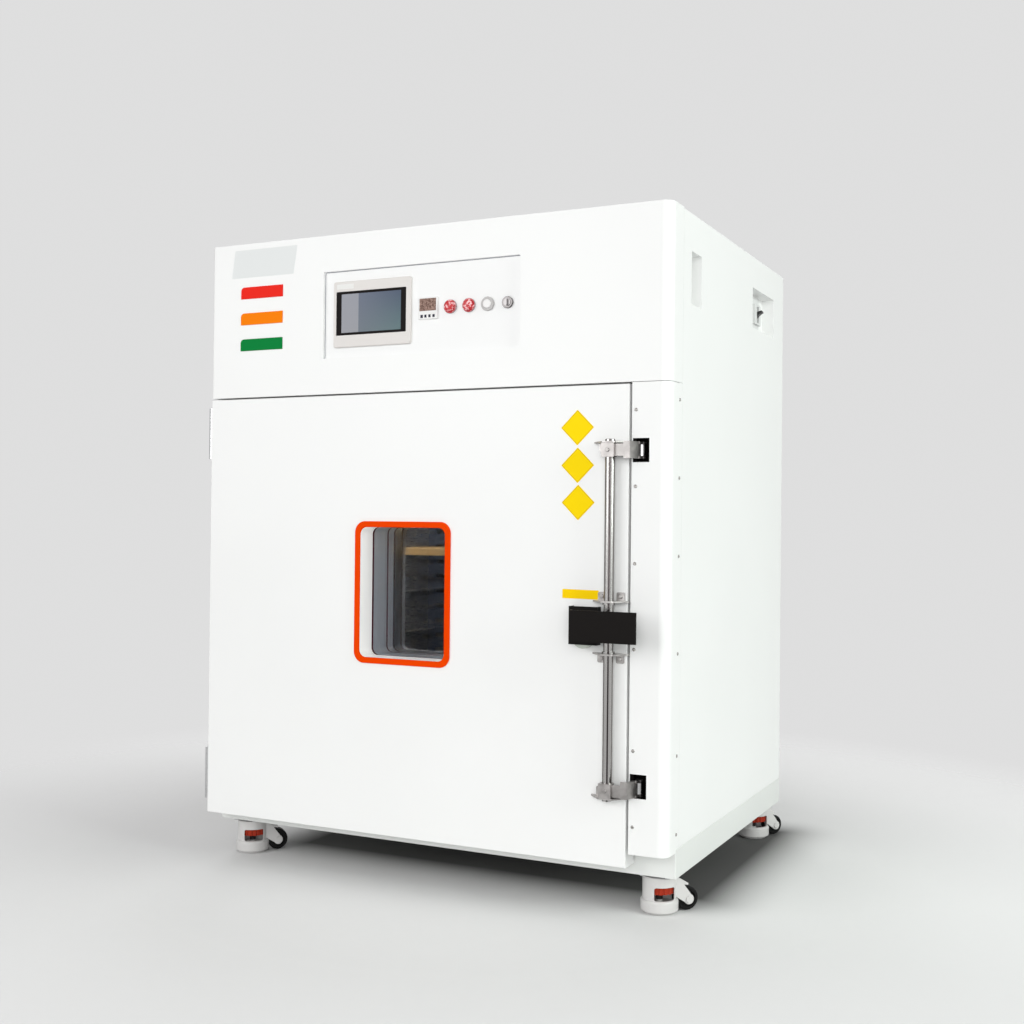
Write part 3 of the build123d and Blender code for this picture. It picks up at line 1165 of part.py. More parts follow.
def build_nodes():
    nodes = {
        "base_frame": base_frame(),
        "outer_casing": outer_casing(),
        "back_panel": back_panel(),
        "front_frame": front_frame(),
        "chamber_liner": chamber_liner(),
        "insulation": insulation(),
        "control_fascia": control_fascia(),
        "control_panel": control_panel(),
        "screen_bezel": screen_bezel(),
        "screen_glass": screen_glass(),
        "over_temp_controller": over_temp_controller(),
        "alarm_lamps": alarm_lamps(),
        "signal_lamps": signal_lamps(),
        "switch_bezels": switch_bezels(),
        "latch_column": latch_column(),
        "latch_keepers": latch_keepers(),
        "fan_baffle": fan_baffle(),
        "shelf_rails": shelf_rails(),
        "fan_motor": fan_motor(),
        "heater_elements": heater_elements(),
        "hinge_cabinet_leaves": hinge_cabinet_leaves(),
        "main_breaker": main_breaker(),
        "cable_gland": cable_gland(),
        "door_shell": door_shell(),
        "door_plug": door_plug(),
        "door_insulation": door_insulation(),
        "door_gasket": door_gasket(),
        "window_trim": window_trim(),
        "window_panes": window_panes(),
        "window_spacers": window_spacers(),
        "hinge_door_leaves": hinge_door_leaves(),
        "latch_brackets": latch_brackets(),
        "latch_rod": latch_rod(),
        "latch_arms": latch_arms(),
        "latch_handle": latch_handle(),
        "latch_roller_upper": latch_roller(UPPER_LEG_Z),
        "latch_roller_lower": latch_roller(LOWER_LEG_Z),
        "shelf_lower": wire_shelf(SHELF_ZS[0]),
        "shelf_upper": wire_shelf(SHELF_ZS[1]),
        "fan_impeller": fan_impeller(),
        "breaker_toggle": breaker_toggle(),
        "light_button": light_button(),
        "power_switch": power_switch(),
    }
    plates = []
    for key in CASTER_SPOTS:
        place = caster_place(key)
        x, y = CASTER_SPOTS[key]
        plates.append(Pos(x, y, 0) * caster_top_plate())
        nodes["caster_" + key + "_housing"] = place * caster_housing()
        nodes["caster_" + key + "_wheel"] = place * caster_wheel()
        nodes["caster_" + key + "_foot"] = [place * solid for solid in caster_foot()]
        nodes["caster_" + key + "_dial"] = place * caster_dial()
    nodes["caster_plates"] = plates
    return nodes


NODES = build_nodes()
EVERYTHING = Compound(children=[solid for shape in NODES.values() for part in as_list(shape) for solid in part.solids()])
OUTER_BOX = EVERYTHING.bounding_box()
SHIFT = (-(OUTER_BOX.min.X + OUTER_BOX.max.X) / 2, -(OUTER_BOX.min.Y + OUTER_BOX.max.Y) / 2, 0.0)

os.makedirs("parts", exist_ok=True)
for name, shape in NODES.items():
    solids = [Pos(*SHIFT) * solid for part in as_list(shape) for solid in part.solids()]
    whole = solids[0] if len(solids) == 1 else Compound(children=solids)
    export_step(whole, "parts/" + name + ".step")
print("nodes", len(NODES), "shift", [round(value, 3) for value in SHIFT])
print("outer box", OUTER_BOX)
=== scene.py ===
# %% [markdown]
# # A high-temperature oven, finished in Blender
#
# The rigid model of the oven comes in as a fixed frame: a white sheet-steel cabinet, a thick door
# with a window, a rod latch and four levelling casters. This lesson gives every piece its finish,
# adds the small things that a sheet-metal shop and a label printer would add last, and sets up the
# studio. Lengths are in metres, with +Z up and the door towards -Y.

import math
from functools import reduce

import bmesh
import bpy
from mathutils import Matrix, Vector


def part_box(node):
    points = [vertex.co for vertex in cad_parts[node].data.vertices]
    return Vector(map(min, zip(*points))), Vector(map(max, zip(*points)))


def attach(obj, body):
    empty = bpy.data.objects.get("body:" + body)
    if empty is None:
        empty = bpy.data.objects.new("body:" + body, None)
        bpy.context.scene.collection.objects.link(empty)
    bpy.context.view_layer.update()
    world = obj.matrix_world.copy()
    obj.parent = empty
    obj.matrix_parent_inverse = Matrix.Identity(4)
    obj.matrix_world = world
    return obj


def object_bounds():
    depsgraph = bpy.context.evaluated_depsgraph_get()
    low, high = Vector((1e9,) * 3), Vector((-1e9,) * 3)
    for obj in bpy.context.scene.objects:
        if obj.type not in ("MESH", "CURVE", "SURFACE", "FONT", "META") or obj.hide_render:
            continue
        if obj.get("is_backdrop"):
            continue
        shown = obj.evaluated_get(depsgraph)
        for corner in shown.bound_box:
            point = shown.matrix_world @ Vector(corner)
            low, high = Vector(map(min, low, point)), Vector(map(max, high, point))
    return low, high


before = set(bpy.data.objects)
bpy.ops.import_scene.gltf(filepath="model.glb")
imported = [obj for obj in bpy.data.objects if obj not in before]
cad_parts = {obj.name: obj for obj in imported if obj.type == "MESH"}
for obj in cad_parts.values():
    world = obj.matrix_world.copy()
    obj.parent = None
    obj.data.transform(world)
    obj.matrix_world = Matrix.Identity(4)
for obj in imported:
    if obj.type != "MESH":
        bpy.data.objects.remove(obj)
cad_low, cad_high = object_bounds()

# %% [markdown]
# ## One ruler for the whole lesson
#
# A drawing office measures a cabinet from its own left front corner, not from the middle of the
# floor. `spot` turns such millimetres into frame coordinates, and `box_from_corner` gives the box of
# a piece in them. The corner comes from the plinth and the door, so it stays right if the cabinet's
# overall box changes.

# %% Measure from the cabinet's corner
plinth_low, plinth_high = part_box("base_frame")
shell_low, shell_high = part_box("door_shell")
ZERO = Vector((plinth_low[0], shell_low[1], 0.0))


def spot(x, y, z):
    return ZERO + Vector((x, y, z)) / 1000.0


def box_from_corner(name):
    return [(Vector(corner) - ZERO) * 1000.0 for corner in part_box(name)]


CABINET_WIDTH = (plinth_high[0] - plinth_low[0]) * 1000.0
CABINET_DEPTH = (plinth_high[1] - ZERO.y) * 1000.0
print("cabinet", round(CABINET_WIDTH), "wide,", round(CABINET_DEPTH), "deep")

# %% [markdown]
# ## Writing shader maths as plain expressions
#
# Node trees get long when every sum is placed by hand. A small class wraps a socket and overloads
# the operators, so `1 - mask * 0.3` adds its Math nodes by itself. Everything that isn't a sum comes
# from one method that takes the node's type, its settings and its inputs.

# %% A socket that can be added and multiplied
class Wave:
    def __init__(self, finish, socket):
        self.finish = finish
        self.socket = socket

    def sum(self, operation, first, second, clamp=False):
        settings = {"operation": operation, "use_clamp": clamp}
        node = self.finish.node("ShaderNodeMath", settings, {0: first, 1: second})
        return Wave(self.finish, node.outputs[0])

    def __add__(self, other):
        return self.sum("ADD", self, other)

    def __radd__(self, other):
        return self.sum("ADD", other, self)

    def __sub__(self, other):
        return self.sum("SUBTRACT", self, other)

    def __rsub__(self, other):
        return self.sum("SUBTRACT", other, self)

    def __mul__(self, other):
        return self.sum("MULTIPLY", self, other)

    def __truediv__(self, other):
        return self.sum("DIVIDE", self, other)

    def __gt__(self, other):
        return self.sum("GREATER_THAN", self, other)

    def __lt__(self, other):
        return self.sum("LESS_THAN", self, other)

    def least(self, other):
        return self.sum("MINIMUM", self, other)

    def most(self, other):
        return self.sum("MAXIMUM", self, other)

    def size(self):
        return self.sum("ABSOLUTE", self, 0.0)

    def power(self, other):
        return self.sum("POWER", self, other)

    def sine(self):
        return self.sum("SINE", self, 0.0)

    def held(self):
        return self.sum("ADD", self, 0.0, clamp=True)


def any_of(masks):
    # 1 where at least one of the masks is 1
    return reduce(lambda joined, mask: joined.most(mask), masks)


# %% [markdown]
# ## A finish: one material with a few readable helpers
#
# Each finish is a Principled surface. `noise` reads the object's own coordinates in metres, so a
# scale of 400 is a grain of about 2.5 mm wherever the piece is moved. `ramp` turns a mask into a
# soft step, `mix` blends two colours by a mask, and `bump` presses a height into the surface.
# `millimetres` reads a place on the ruler, for pieces that change colour from one part to the next.

# %% The finish class
class Finish:
    def __init__(self, name):
        self.material = bpy.data.materials.new(name)
        self.material.use_nodes = True
        self.tree = self.material.node_tree
        self.tree.nodes.clear()
        self.output = self.tree.nodes.new("ShaderNodeOutputMaterial")
        self.shader = self.tree.nodes.new("ShaderNodeBsdfPrincipled")
        self.tree.links.new(self.shader.outputs[0], self.output.inputs[0])
        self.coordinates = None

    def feed(self, socket, value):
        if isinstance(value, Wave):
            self.tree.links.new(value.socket, socket)
            return
        if isinstance(value, bpy.types.NodeSocket):
            self.tree.links.new(value, socket)
            return
        takes_colour = hasattr(socket.default_value, "__len__") and len(socket.default_value) == 4
        if takes_colour and len(value) == 3:
            value = (*value, 1.0)
        socket.default_value = value

    def node(self, kind, settings=None, inputs=None):
        made = self.tree.nodes.new(kind)
        for key, value in (settings or {}).items():
            if key == "stops":
                self.set_stops(made.color_ramp.elements, value)
            else:
                setattr(made, key, value)
        for key, value in (inputs or {}).items():
            self.feed(made.inputs[key], value)
        return made

    def set_stops(self, elements, stops):
        for element, (place, colour) in zip(elements, stops):
            element.position = place
            element.color = (*colour, 1.0)

    def where(self):
        if self.coordinates is None:
            self.coordinates = self.node("ShaderNodeTexCoord").outputs["Object"]
        return self.coordinates

    def axis(self, letter):
        split = self.node("ShaderNodeSeparateXYZ", None, {0: self.where()})
        return Wave(self, split.outputs[letter])

    def millimetres(self, letter):
        # The place along an axis, counted from the cabinet's corner
        return (self.axis(letter) - ZERO["XYZ".index(letter)]) * 1000.0

    def stretched(self, stretch):
        mapping = self.node("ShaderNodeMapping", None, {"Vector": self.where(), "Scale": stretch})
        return mapping.outputs[0]

    def noise(self, scale, detail=3.0, stretch=(1.0, 1.0, 1.0), roughness=0.5):
        inputs = {"Vector": self.stretched(stretch), "Scale": scale}
        inputs.update({"Detail": detail, "Roughness": roughness})
        return Wave(self, self.node("ShaderNodeTexNoise", None, inputs).outputs["Fac"])

    def cells(self, scale):
        inputs = {"Vector": self.where(), "Scale": scale}
        return Wave(self, self.node("ShaderNodeTexVoronoi", None, inputs).outputs["Distance"])

    def ramp(self, mask, low, high):
        stops = [(low, (0, 0, 0)), (high, (1, 1, 1))]
        return Wave(self, self.node("ShaderNodeValToRGB", {"stops": stops}, {0: mask}).outputs[0])

    def mix(self, mask, first, second):
        made = self.node("ShaderNodeMix", {"data_type": "RGBA"}, {0: mask})
        self.feed(made.inputs[6], first)
        self.feed(made.inputs[7], second)
        return made.outputs[2]

    def bump(self, height, strength, distance):
        inputs = {"Height": height, "Strength": strength, "Distance": distance}
        return self.node("ShaderNodeBump", None, inputs).outputs[0]

    def set(self, **inputs):
        for key, value in inputs.items():
            self.feed(self.shader.inputs[key.replace("_", " ")], value)

    def span(self, letter, low, high):
        # 1 between two places on an axis
        place = self.millimetres(letter)
        return (place > low) * (place < high)

    def distance_from(self, x, z):
        # How far a point is from an axis that runs from front to back
        dx = self.millimetres("X") - x
        dz = self.millimetres("Z") - z
        return (dx * dx + dz * dz).power(0.5)


# %% [markdown]
# ## Powder coat
#
# The cabinet is bent from thin sheet and sprayed with a light powder that is baked on. Close up the
# coat isn't smooth: it has a fine pebbled skin, like orange peel, and a soft sheen. Three noises do
# it: two fine ones for the pebbles, and a slow one that shifts the tone by a few percent at most.

# %% Painted sheet
def powder_coat(name, colour, roughness=0.42, grain=900.0, relief=0.16, tone=0.012, coat=0.08, shine=0.5):
    finish = Finish(name)
    slow = finish.noise(3.0, 2.0)
    pebbles = finish.noise(grain, 2.0)
    fine = finish.noise(grain * 3.1, 1.0)
    darker = tuple(channel * (1 - 4 * tone) for channel in colour)
    finish.set(Base_Color=finish.mix(slow, darker, colour))
    finish.set(Roughness=roughness + (pebbles - 0.5) * 0.10 + (slow - 0.5) * 0.05)
    finish.set(Normal=finish.bump(pebbles * 0.7 + fine * 0.3, relief, 0.0004))
    finish.set(Coat_Weight=coat, Coat_Roughness=0.25, Specular_IOR_Level=shine)
    return finish.material


WHITE = powder_coat("white_powder_coat", (0.872, 0.876, 0.868))
# The plinth's coat is greyer than the cabinet's: partly its own tone, partly painted shade from the door
# and column above it.
BASE_WHITE_AND_SHADE = powder_coat("plinth_powder_coat", (0.765, 0.78, 0.76), 0.46, 800.0, 0.2, tone=0.02)
FRAME_WHITE = powder_coat("frame_powder_coat", (0.83, 0.835, 0.825), 0.5, 900.0, 0.2)
CASTER_GREY = powder_coat("caster_casting_coat", (0.64, 0.63, 0.62), 0.40, 600.0, 0.30, tone=0.03)
LEVER_BLACK = powder_coat(
    "lever_black_coat", (0.009, 0.0075, 0.007), 0.42, 1500.0, 0.3, tone=0.05, coat=0.0, shine=0.06
)
print("materials so far", len(bpy.data.materials))

# %% [markdown]
# The control panel is let into the fascia with a hair-wide gap all round. The shade in that gap is
# painted on the panel's sheet as a grey line. Its sheet reaches a little way behind the fascia, so the
# line lies that far inside its edge.

# %% The control panel's sheet
PANEL_LAP = 12.0
SEAM = 1.2
plate_low, plate_high = box_from_corner("control_panel")
hidden = PANEL_LAP + SEAM
panel = Finish("panel_powder_coat")
panel_grain = panel.noise(1400.0, 2.0)
flat_part = panel.span("X", plate_low.x + hidden, plate_high.x - hidden)
flat_part = flat_part * panel.span("Z", plate_low.z + hidden, plate_high.z - hidden)
panel_tone = panel.mix(panel_grain, (0.855, 0.859, 0.855), (0.868, 0.872, 0.868))
# Outside the flat part the sheet is grey-blue: painted shade of the gap round the panel.
panel.set(Base_Color=panel.mix(flat_part, (0.20, 0.21, 0.27), panel_tone))
panel.set(Roughness=0.48 + (panel_grain - 0.5) * 0.1, Normal=panel.bump(panel_grain, 0.10, 0.0004))
PANEL_WHITE = panel.material
print("panel", [round(v, 1) for v in (plate_low.x, plate_high.x, plate_low.z, plate_high.z)])

# %% [markdown]
# ## Stainless sheet and bar
#
# Sheet keeps the lines of its last grinding belt, so its grain is a noise squeezed along one
# direction. Plated, pressed and cast pieces have an even grain. One recipe makes them all: only the
# stretch and scale of the noise and its darkest tone change. Chamber sheet that has been hot also
# turns straw-coloured, which is a second, broad noise.

# %% Metals
EVEN = (1.0, 1.0, 1.0)
BELT_LINES = (1.0, 1.0, 26.0)
STRAW = (0.58, 0.50, 0.38)


def metal(
    name, colour, roughness, stretch=EVEN, scale=60.0, spread=0.12, relief=0.08,
    tint=None, dark=0.86, metallic=1.0,
):
    # stretch and scale set the grain, dark the share of the colour that its darkest lines keep
    finish = Finish(name)
    lines = finish.noise(scale, 4.0, stretch)
    broad = finish.noise(6.0, 2.0)
    tone = finish.mix(finish.ramp(lines, 0.36, 0.62), tuple(c * dark for c in colour), colour)
    if tint is not None:
        tone = finish.mix(finish.ramp(broad, 0.35, 0.75) * 0.6, tone, tint)
    finish.set(Base_Color=tone, Metallic=metallic)
    finish.set(Roughness=(roughness + (lines - 0.5) * spread + (broad - 0.5) * 0.06).held())
    finish.set(Normal=finish.bump(lines, relief, 0.0002))
    return finish.material


LINER = metal(
    "chamber_stainless", (0.56, 0.55, 0.53), 0.28, BELT_LINES, 30.0, 0.14, 0.06, tint=STRAW, metallic=0.9
)
BLUED = metal(
    "blued_baffle_steel", (0.040, 0.056, 0.092), 0.55, BELT_LINES, 30.0, 0.14, 0.06, dark=0.6, metallic=0.3
)
SHELF_WIRE = metal(
    "shelf_wire", (0.78, 0.53, 0.25), 0.4, (30.0, 1.0, 1.0), 30.0, 0.1, 0.05,
    tint=(0.66, 0.45, 0.20), metallic=0.4,
)
PLUG = metal("door_pan_stainless", (0.60, 0.60, 0.585), 0.26, BELT_LINES, 30.0)
BRIGHT_STRIP = metal("bright_pressed_steel", (0.42, 0.40, 0.39), 0.36, EVEN, 45.0, 0.16, 0.05, dark=0.70)
ZINC = metal("zinc_plate", (0.58, 0.585, 0.59), 0.32, EVEN, 240.0, 0.2, 0.16)
ROLLER_STEEL = metal("roller_steel", (0.5, 0.5, 0.5), 0.2, (1.0, 1.0, 40.0))
HEATER = metal("heater_tube_steel", (0.22, 0.2, 0.19), 0.42, EVEN, 300.0, 0.2, 0.2, tint=(0.20, 0.14, 0.16))
MOTOR_CAST = metal("motor_casting", (0.36, 0.37, 0.38), 0.5, EVEN, 500.0, 0.2, 0.5)
RING_METAL = metal("turned_ring", (0.25, 0.24, 0.24), 0.3, EVEN, 200.0, 0.08, 0.04)
SCREW_METAL = metal("screw_metal", (0.40, 0.385, 0.37), 0.26, EVEN, 500.0, 0.15, 0.1)
print("materials so far", len(bpy.data.materials))

# %% [markdown]
# A polished bar in a bright room mirrors the gaps between the windows as long dark stripes. Here these
# reflections are painted into the bar's tone, which follows the direction in which its side faces, so
# the painted stripes have soft, slightly uneven edges.

# %% The polished latch rod
ROD_STANDOFF = 0.016
ROD_STEEL = (0.44, 0.43, 0.42)
# Each painted reflection stripe: the way it faces and its half width in degrees, its softness and its tone
ROD_PAINTED_REFLECTIONS = (
    (21.0, 9.0, 0.5, (0.035, 0.028, 0.028)),
    (-42.0, 13.0, 0.8, (0.12, 0.11, 0.105)),
    (84.0, 16.0, 0.9, (0.20, 0.19, 0.185)),
)
rod_low, rod_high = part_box("latch_rod")
rod = Finish("polished_bar")
rod_x = rod.axis("X") - (rod_low[0] + rod_high[0]) / 2
rod_y = rod.axis("Y") - (ZERO.y - ROD_STANDOFF)
rod_reach = (rod_x * rod_x + rod_y * rod_y).power(0.5)
drawn = rod.noise(220.0, 3.0, (1.0, 1.0, 0.01))


def painted_reflection_stripe(facing, half_width, softness):
    # 1 where the side faces within half_width of facing, counted from the front to the right
    angle = math.radians(facing)
    towards = (rod_x * math.sin(angle) - rod_y * math.cos(angle)) / rod_reach + (drawn - 0.5) * 0.003
    edge = math.cos(math.radians(half_width))
    return ((towards - edge) / (softness * (1 - edge)) + 0.5).held()


# The steel's own tone, with the painted reflection stripes laid over it
rod_steel_and_painted_reflections = ROD_STEEL
for facing, half_width, softness, reflection_tone in ROD_PAINTED_REFLECTIONS:
    rod_steel_and_painted_reflections = rod.mix(painted_reflection_stripe(facing, half_width, softness), rod_steel_and_painted_reflections, reflection_tone)
rod.set(Base_Color=rod_steel_and_painted_reflections, Metallic=1.0, Roughness=0.20 + (drawn - 0.5) * 0.08)
rod.set(Normal=rod.bump(drawn, 0.05, 0.0002))
GROUND_BAR = rod.material
print("rod stripes", len(ROD_PAINTED_REFLECTIONS))

# %% [markdown]
# ## Moulded plastic and rubber
#
# Moulds are etched or polished, and that texture prints on to the plastic. A fine voronoi pattern
# gives the etched look, and its strength and the roughness tell a matte bezel from a glossy lens.

# %% Plastics and rubber
def moulded(name, colour, roughness, grain=1800.0, relief=0.12, coat=0.0, shine=0.5):
    finish = Finish(name)
    etched = finish.cells(grain)
    slow = finish.noise(14.0, 2.0)
    finish.set(Base_Color=finish.mix(slow, tuple(c * 0.94 for c in colour), colour))
    finish.set(Roughness=roughness + (etched - 0.4) * 0.12)
    finish.set(Normal=finish.bump(etched, relief, 0.0003))
    finish.set(Coat_Weight=coat, Coat_Roughness=0.08, IOR=1.5, Specular_IOR_Level=shine)
    return finish.material


TRIM_ORANGE = moulded("window_trim_orange", (0.84, 0.056, 0.0), 0.42, 1200.0, 0.06, shine=0.02)
BEZEL_SILVER = moulded("screen_bezel_silver", (0.71, 0.68, 0.655), 0.42, 1600.0, 0.10)
BREAKER_GREY = moulded("breaker_grey", (0.74, 0.745, 0.74), 0.5)
BREAKER_BLACK = moulded("breaker_black", (0.014, 0.014, 0.014), 0.4)
# The keepers' near-black paints the shade inside the latch column's cut-outs
KEEPER_PAINTED_SHADE = moulded("keeper_painted_shade", (0.005, 0.004, 0.004), 0.5, 900.0, 0.2, shine=0.03)
GLAND_BLACK = moulded("gland_black", (0.016, 0.016, 0.017), 0.5)
WHEEL_BLACK = moulded("wheel_black", (0.008, 0.008, 0.008), 0.5, 900.0, 0.25, shine=0.12)
BUTTON_WHITE = moulded("button_white", (0.80, 0.785, 0.78), 0.35, 900.0, 0.03, coat=0.1)
DIAL_RED = moulded("dial_red", (0.34, 0.028, 0.010), 0.45, 1400.0, 0.15, shine=0.15)
GASKET = moulded("silicone_gasket", (0.42, 0.12, 0.055), 0.62, 700.0, 0.3)
print("materials so far", len(bpy.data.materials))

# %% [markdown]
# A levelling foot is a grey pad with a greased black stud above it, which the red dial turns. The
# level at which one becomes the other picks the colour.

# %% Levelling feet
STUD_LEVEL = 26.0
foot = Finish("foot_pad_and_stud")
stud = foot.millimetres("Z") > STUD_LEVEL
foot_grain = foot.cells(900.0)
foot.set(Base_Color=foot.mix(stud, (0.50, 0.495, 0.485), (0.030, 0.026, 0.026)))
foot.set(Roughness=0.45 + (foot_grain - 0.4) * 0.12, Specular_IOR_Level=0.2)
foot.set(Normal=foot.bump(foot_grain, 0.25, 0.0003))
FOOT_GREY = foot.material
print("stud above", STUD_LEVEL, "mm")

# %% [markdown]
# ## Mineral wool
#
# The wool between the sheets is pressed from fine yellow-grey fibres. It only shows where the sheets
# end, so one stretched noise for the fibres and one broad noise for the batts are enough.

# %% Wool
wool = Finish("mineral_wool")
fibres = wool.noise(260.0, 6.0, (1.0, 5.0, 1.0), 0.7)
batts = wool.noise(9.0, 3.0)
wool.set(Base_Color=wool.mix(fibres * 0.7 + batts * 0.3, (0.40, 0.34, 0.20), (0.72, 0.66, 0.48)))
wool.set(Roughness=0.86 + (fibres - 0.5) * 0.1, Normal=wool.bump(fibres, 0.9, 0.002))
WOOL = wool.material
print("made", WOOL.name)

# %% [markdown]
# ## Glass
#
# The window is a stack of clear panes with a slight blue-green cast. A coated pane throws back little
# of the room, so most light goes straight through each face, which is what a low alpha says. A little
# roughness noise keeps the rest from looking computed. The touch screen is different: its glass is
# printed black at the edge, and the idle display behind it is a dark grey-blue rectangle. Painted
# reflection changes its tone across and up, and a soft painted reflection lies at its left.

# %% Window panes
panes = Finish("window_pane_glass")
smear = panes.noise(22.0, 4.0, (1.0, 1.0, 2.5))
panes.set(Base_Color=(0.92, 0.955, 0.985), Transmission_Weight=1.0, IOR=1.12)
panes.set(Roughness=panes.ramp(smear, 0.45, 0.9) * 0.03, Alpha=0.12)
PANE_GLASS = panes.material
print("made", PANE_GLASS.name)

# %% Touch screen
DISPLAY_HALF_WIDTH = 77.0
DISPLAY_HALF_HEIGHT = 43.0
PAINTED_REFLECTION_SHARE = 0.29
glass_low, glass_high = box_from_corner("screen_glass")
display_left = (glass_low.x + glass_high.x) / 2 - DISPLAY_HALF_WIDTH
display_foot = (glass_low.z + glass_high.z) / 2 - DISPLAY_HALF_HEIGHT
screen = Finish("touch_screen_glass")
inside = screen.span("X", display_left, display_left + 2 * DISPLAY_HALF_WIDTH)
inside = inside * screen.span("Z", display_foot, display_foot + 2 * DISPLAY_HALF_HEIGHT)
across = (screen.millimetres("X") - display_left) / (2 * DISPLAY_HALF_WIDTH)
up = (screen.millimetres("Z") - display_foot) / (2 * DISPLAY_HALF_HEIGHT)
# The display's dark grey-blue with painted reflection, changing across and up
upper_painted_reflection_tone = screen.mix(across, (0.190, 0.210, 0.270), (0.085, 0.105, 0.160))
lower_painted_reflection_tone = screen.mix(across, (0.190, 0.200, 0.240), (0.130, 0.195, 0.205))
display_and_painted_reflections = screen.mix((up * 0.9).held(), lower_painted_reflection_tone, upper_painted_reflection_tone)
# A soft painted reflection over the left share of the display
display_and_painted_reflections = screen.mix((across < PAINTED_REFLECTION_SHARE) * 0.45, display_and_painted_reflections, (0.50, 0.49, 0.51))
screen.set(Base_Color=screen.mix(inside, (0.006, 0.004, 0.004), display_and_painted_reflections))
screen.set(Roughness=0.30 + inside * 0.10, Specular_IOR_Level=0.04)
SCREEN = screen.material
print("display from", round(display_left, 1), "across and", round(display_foot, 1), "up")

# %% [markdown]
# ## One piece, several colours
#
# Some bought-in parts come as one piece in the frame but are two materials in the hand: a lamp is a
# metal ring with a red lens, and the three signal bars differ only in their pigment. The colour is
# chosen by where a point lies, measured from the lamp's own axis or level. The lens has fine ribs,
# and the bright spots that they throw about are painted highlights, a noise in two tones.

# %% Alarm lamps
LAMP_PLACES = (634.5, 679.5)
LAMP_LEVEL = 1256.0
LENS_RADIUS = 14.6
RIB_TURN = 2.1
lamp = Finish("alarm_lamp")
first_lamp, second_lamp = (lamp.distance_from(place, LAMP_LEVEL) for place in LAMP_PLACES)
reach = first_lamp.least(second_lamp)
lens = reach < LENS_RADIUS
ribs = (reach * RIB_TURN).sine() * 0.5 + 0.5
painted_highlight_noise = lamp.noise(170.0, 2.0, EVEN, 0.6)
# The lens's deep red with painted highlights of its ribs in pale pink
lens_red_and_painted_highlights = lamp.mix(lamp.ramp(painted_highlight_noise, 0.50, 0.64), (0.52, 0.010, 0.018), (1.0, 0.60, 0.62))
lamp.set(Base_Color=lamp.mix(lens, (0.42, 0.30, 0.31), lens_red_and_painted_highlights), Metallic=(1 - lens) * 0.7)
lamp.set(Roughness=0.22 + lens * 0.02, Coat_Weight=lens * 0.3, Specular_IOR_Level=0.3)
lamp.set(Normal=lamp.bump(ribs * lens, 0.35, 0.0006))
ALARM_LAMP = lamp.material
print("alarm lamps", len(LAMP_PLACES))

# %% Signal bars
RED_ABOVE = 1290.4
GREEN_BELOW = 1230.0
signals = Finish("signal_bars")
level = signals.millimetres("Z")
bar_grain = signals.cells(700.0)
bar_tone = signals.mix(level > RED_ABOVE, (0.93, 0.215, 0.0), (0.82, 0.022, 0.013))
bar_tone = signals.mix(level < GREEN_BELOW, bar_tone, (0.0, 0.208, 0.040))
signals.set(Base_Color=bar_tone, Roughness=0.44 + bar_grain * 0.08, Specular_IOR_Level=0.05)
signals.set(Normal=signals.bump(bar_grain, 0.05, 0.0003))
SIGNALS = signals.material
print("signal bars change colour at", GREEN_BELOW, "and", RED_ABOVE)

# %% [markdown]
# The small panel controller has a white frame, a smoked window above and a row of dark keys below.
# The ring of the push button is pale plastic, and that of the main switch is turned metal.

# %% Panel controller
GAUGE_LEFT, GAUGE_RIGHT = 559.5, 600.5
GAUGE_FOOT, GAUGE_TOP = 1250.0, 1277.0
# Each key: its left edge, its foot and its width, below a common top
GAUGE_KEYS = ((562.0, 1235.0, 6.5), (572.0, 1235.5, 5.5), (582.0, 1235.5, 5.5), (592.0, 1235.5, 5.5))
GAUGE_KEY_TOP = 1242.0
gauge = Finish("panel_controller")
window = gauge.span("Z", GAUGE_FOOT, GAUGE_TOP) * gauge.span("X", GAUGE_LEFT, GAUGE_RIGHT)
keys = any_of([
    gauge.span("Z", key_foot, GAUGE_KEY_TOP) * gauge.span("X", left, left + width)
    for left, key_foot, width in GAUGE_KEYS
])
speck = gauge.noise(420.0, 2.0)
smoke = gauge.mix(gauge.ramp(speck, 0.4, 0.62), (0.120, 0.062, 0.048), (0.36, 0.235, 0.19))
gauge_tone = gauge.mix(window, (0.84, 0.835, 0.83), smoke)
gauge_tone = gauge.mix(keys, gauge_tone, (0.03, 0.03, 0.05))
gauge.set(Base_Color=gauge_tone, Roughness=0.42 - window * 0.1, Specular_IOR_Level=0.1)
gauge.set(Normal=gauge.bump(gauge.cells(1500.0), 0.08, 0.0002))
CONTROLLER = gauge.material
print("controller keys", len(GAUGE_KEYS))

# %% Rings of the button and the switch
BETWEEN_RINGS = 748.0
rings = Finish("button_and_switch_rings")
white_side = rings.millimetres("X") < BETWEEN_RINGS
turning = rings.noise(300.0, 2.0)
rings.set(Base_Color=rings.mix(white_side, (0.17, 0.16, 0.16), (0.48, 0.465, 0.46)))
rings.set(Metallic=1 - white_side, Roughness=0.3 + (turning - 0.5) * 0.1, Specular_IOR_Level=0.25)
rings.set(Normal=rings.bump(turning, 0.05, 0.0002))
SWITCH_RINGS = rings.material
print("rings part at", BETWEEN_RINGS)

# %% [markdown]
# The latch hardware is one frame piece too: four plated rod guides, but a black stop plate with a
# rubber buffer between the middle two. The buffer is painted grey-green, the tone of the white door in
# the shade below the plate. The sleeve round the window is white, and each pane sits between two dark
# seals, which show as thin lines in the side of the opening. The sleeve's front part lies in shade,
# and a faint emission paints light on it.

# %% Latch hardware
STOP_FOOT, STOP_TOP = 538.0, 632.0
BUFFER_TOP = 549.8
hardware = Finish("latch_hardware")
stop_plate = hardware.span("Z", STOP_FOOT, STOP_TOP)
plating = hardware.noise(45.0, 3.0)
bright = hardware.mix(hardware.ramp(plating, 0.38, 0.60), (0.26, 0.245, 0.24), (0.44, 0.425, 0.415))
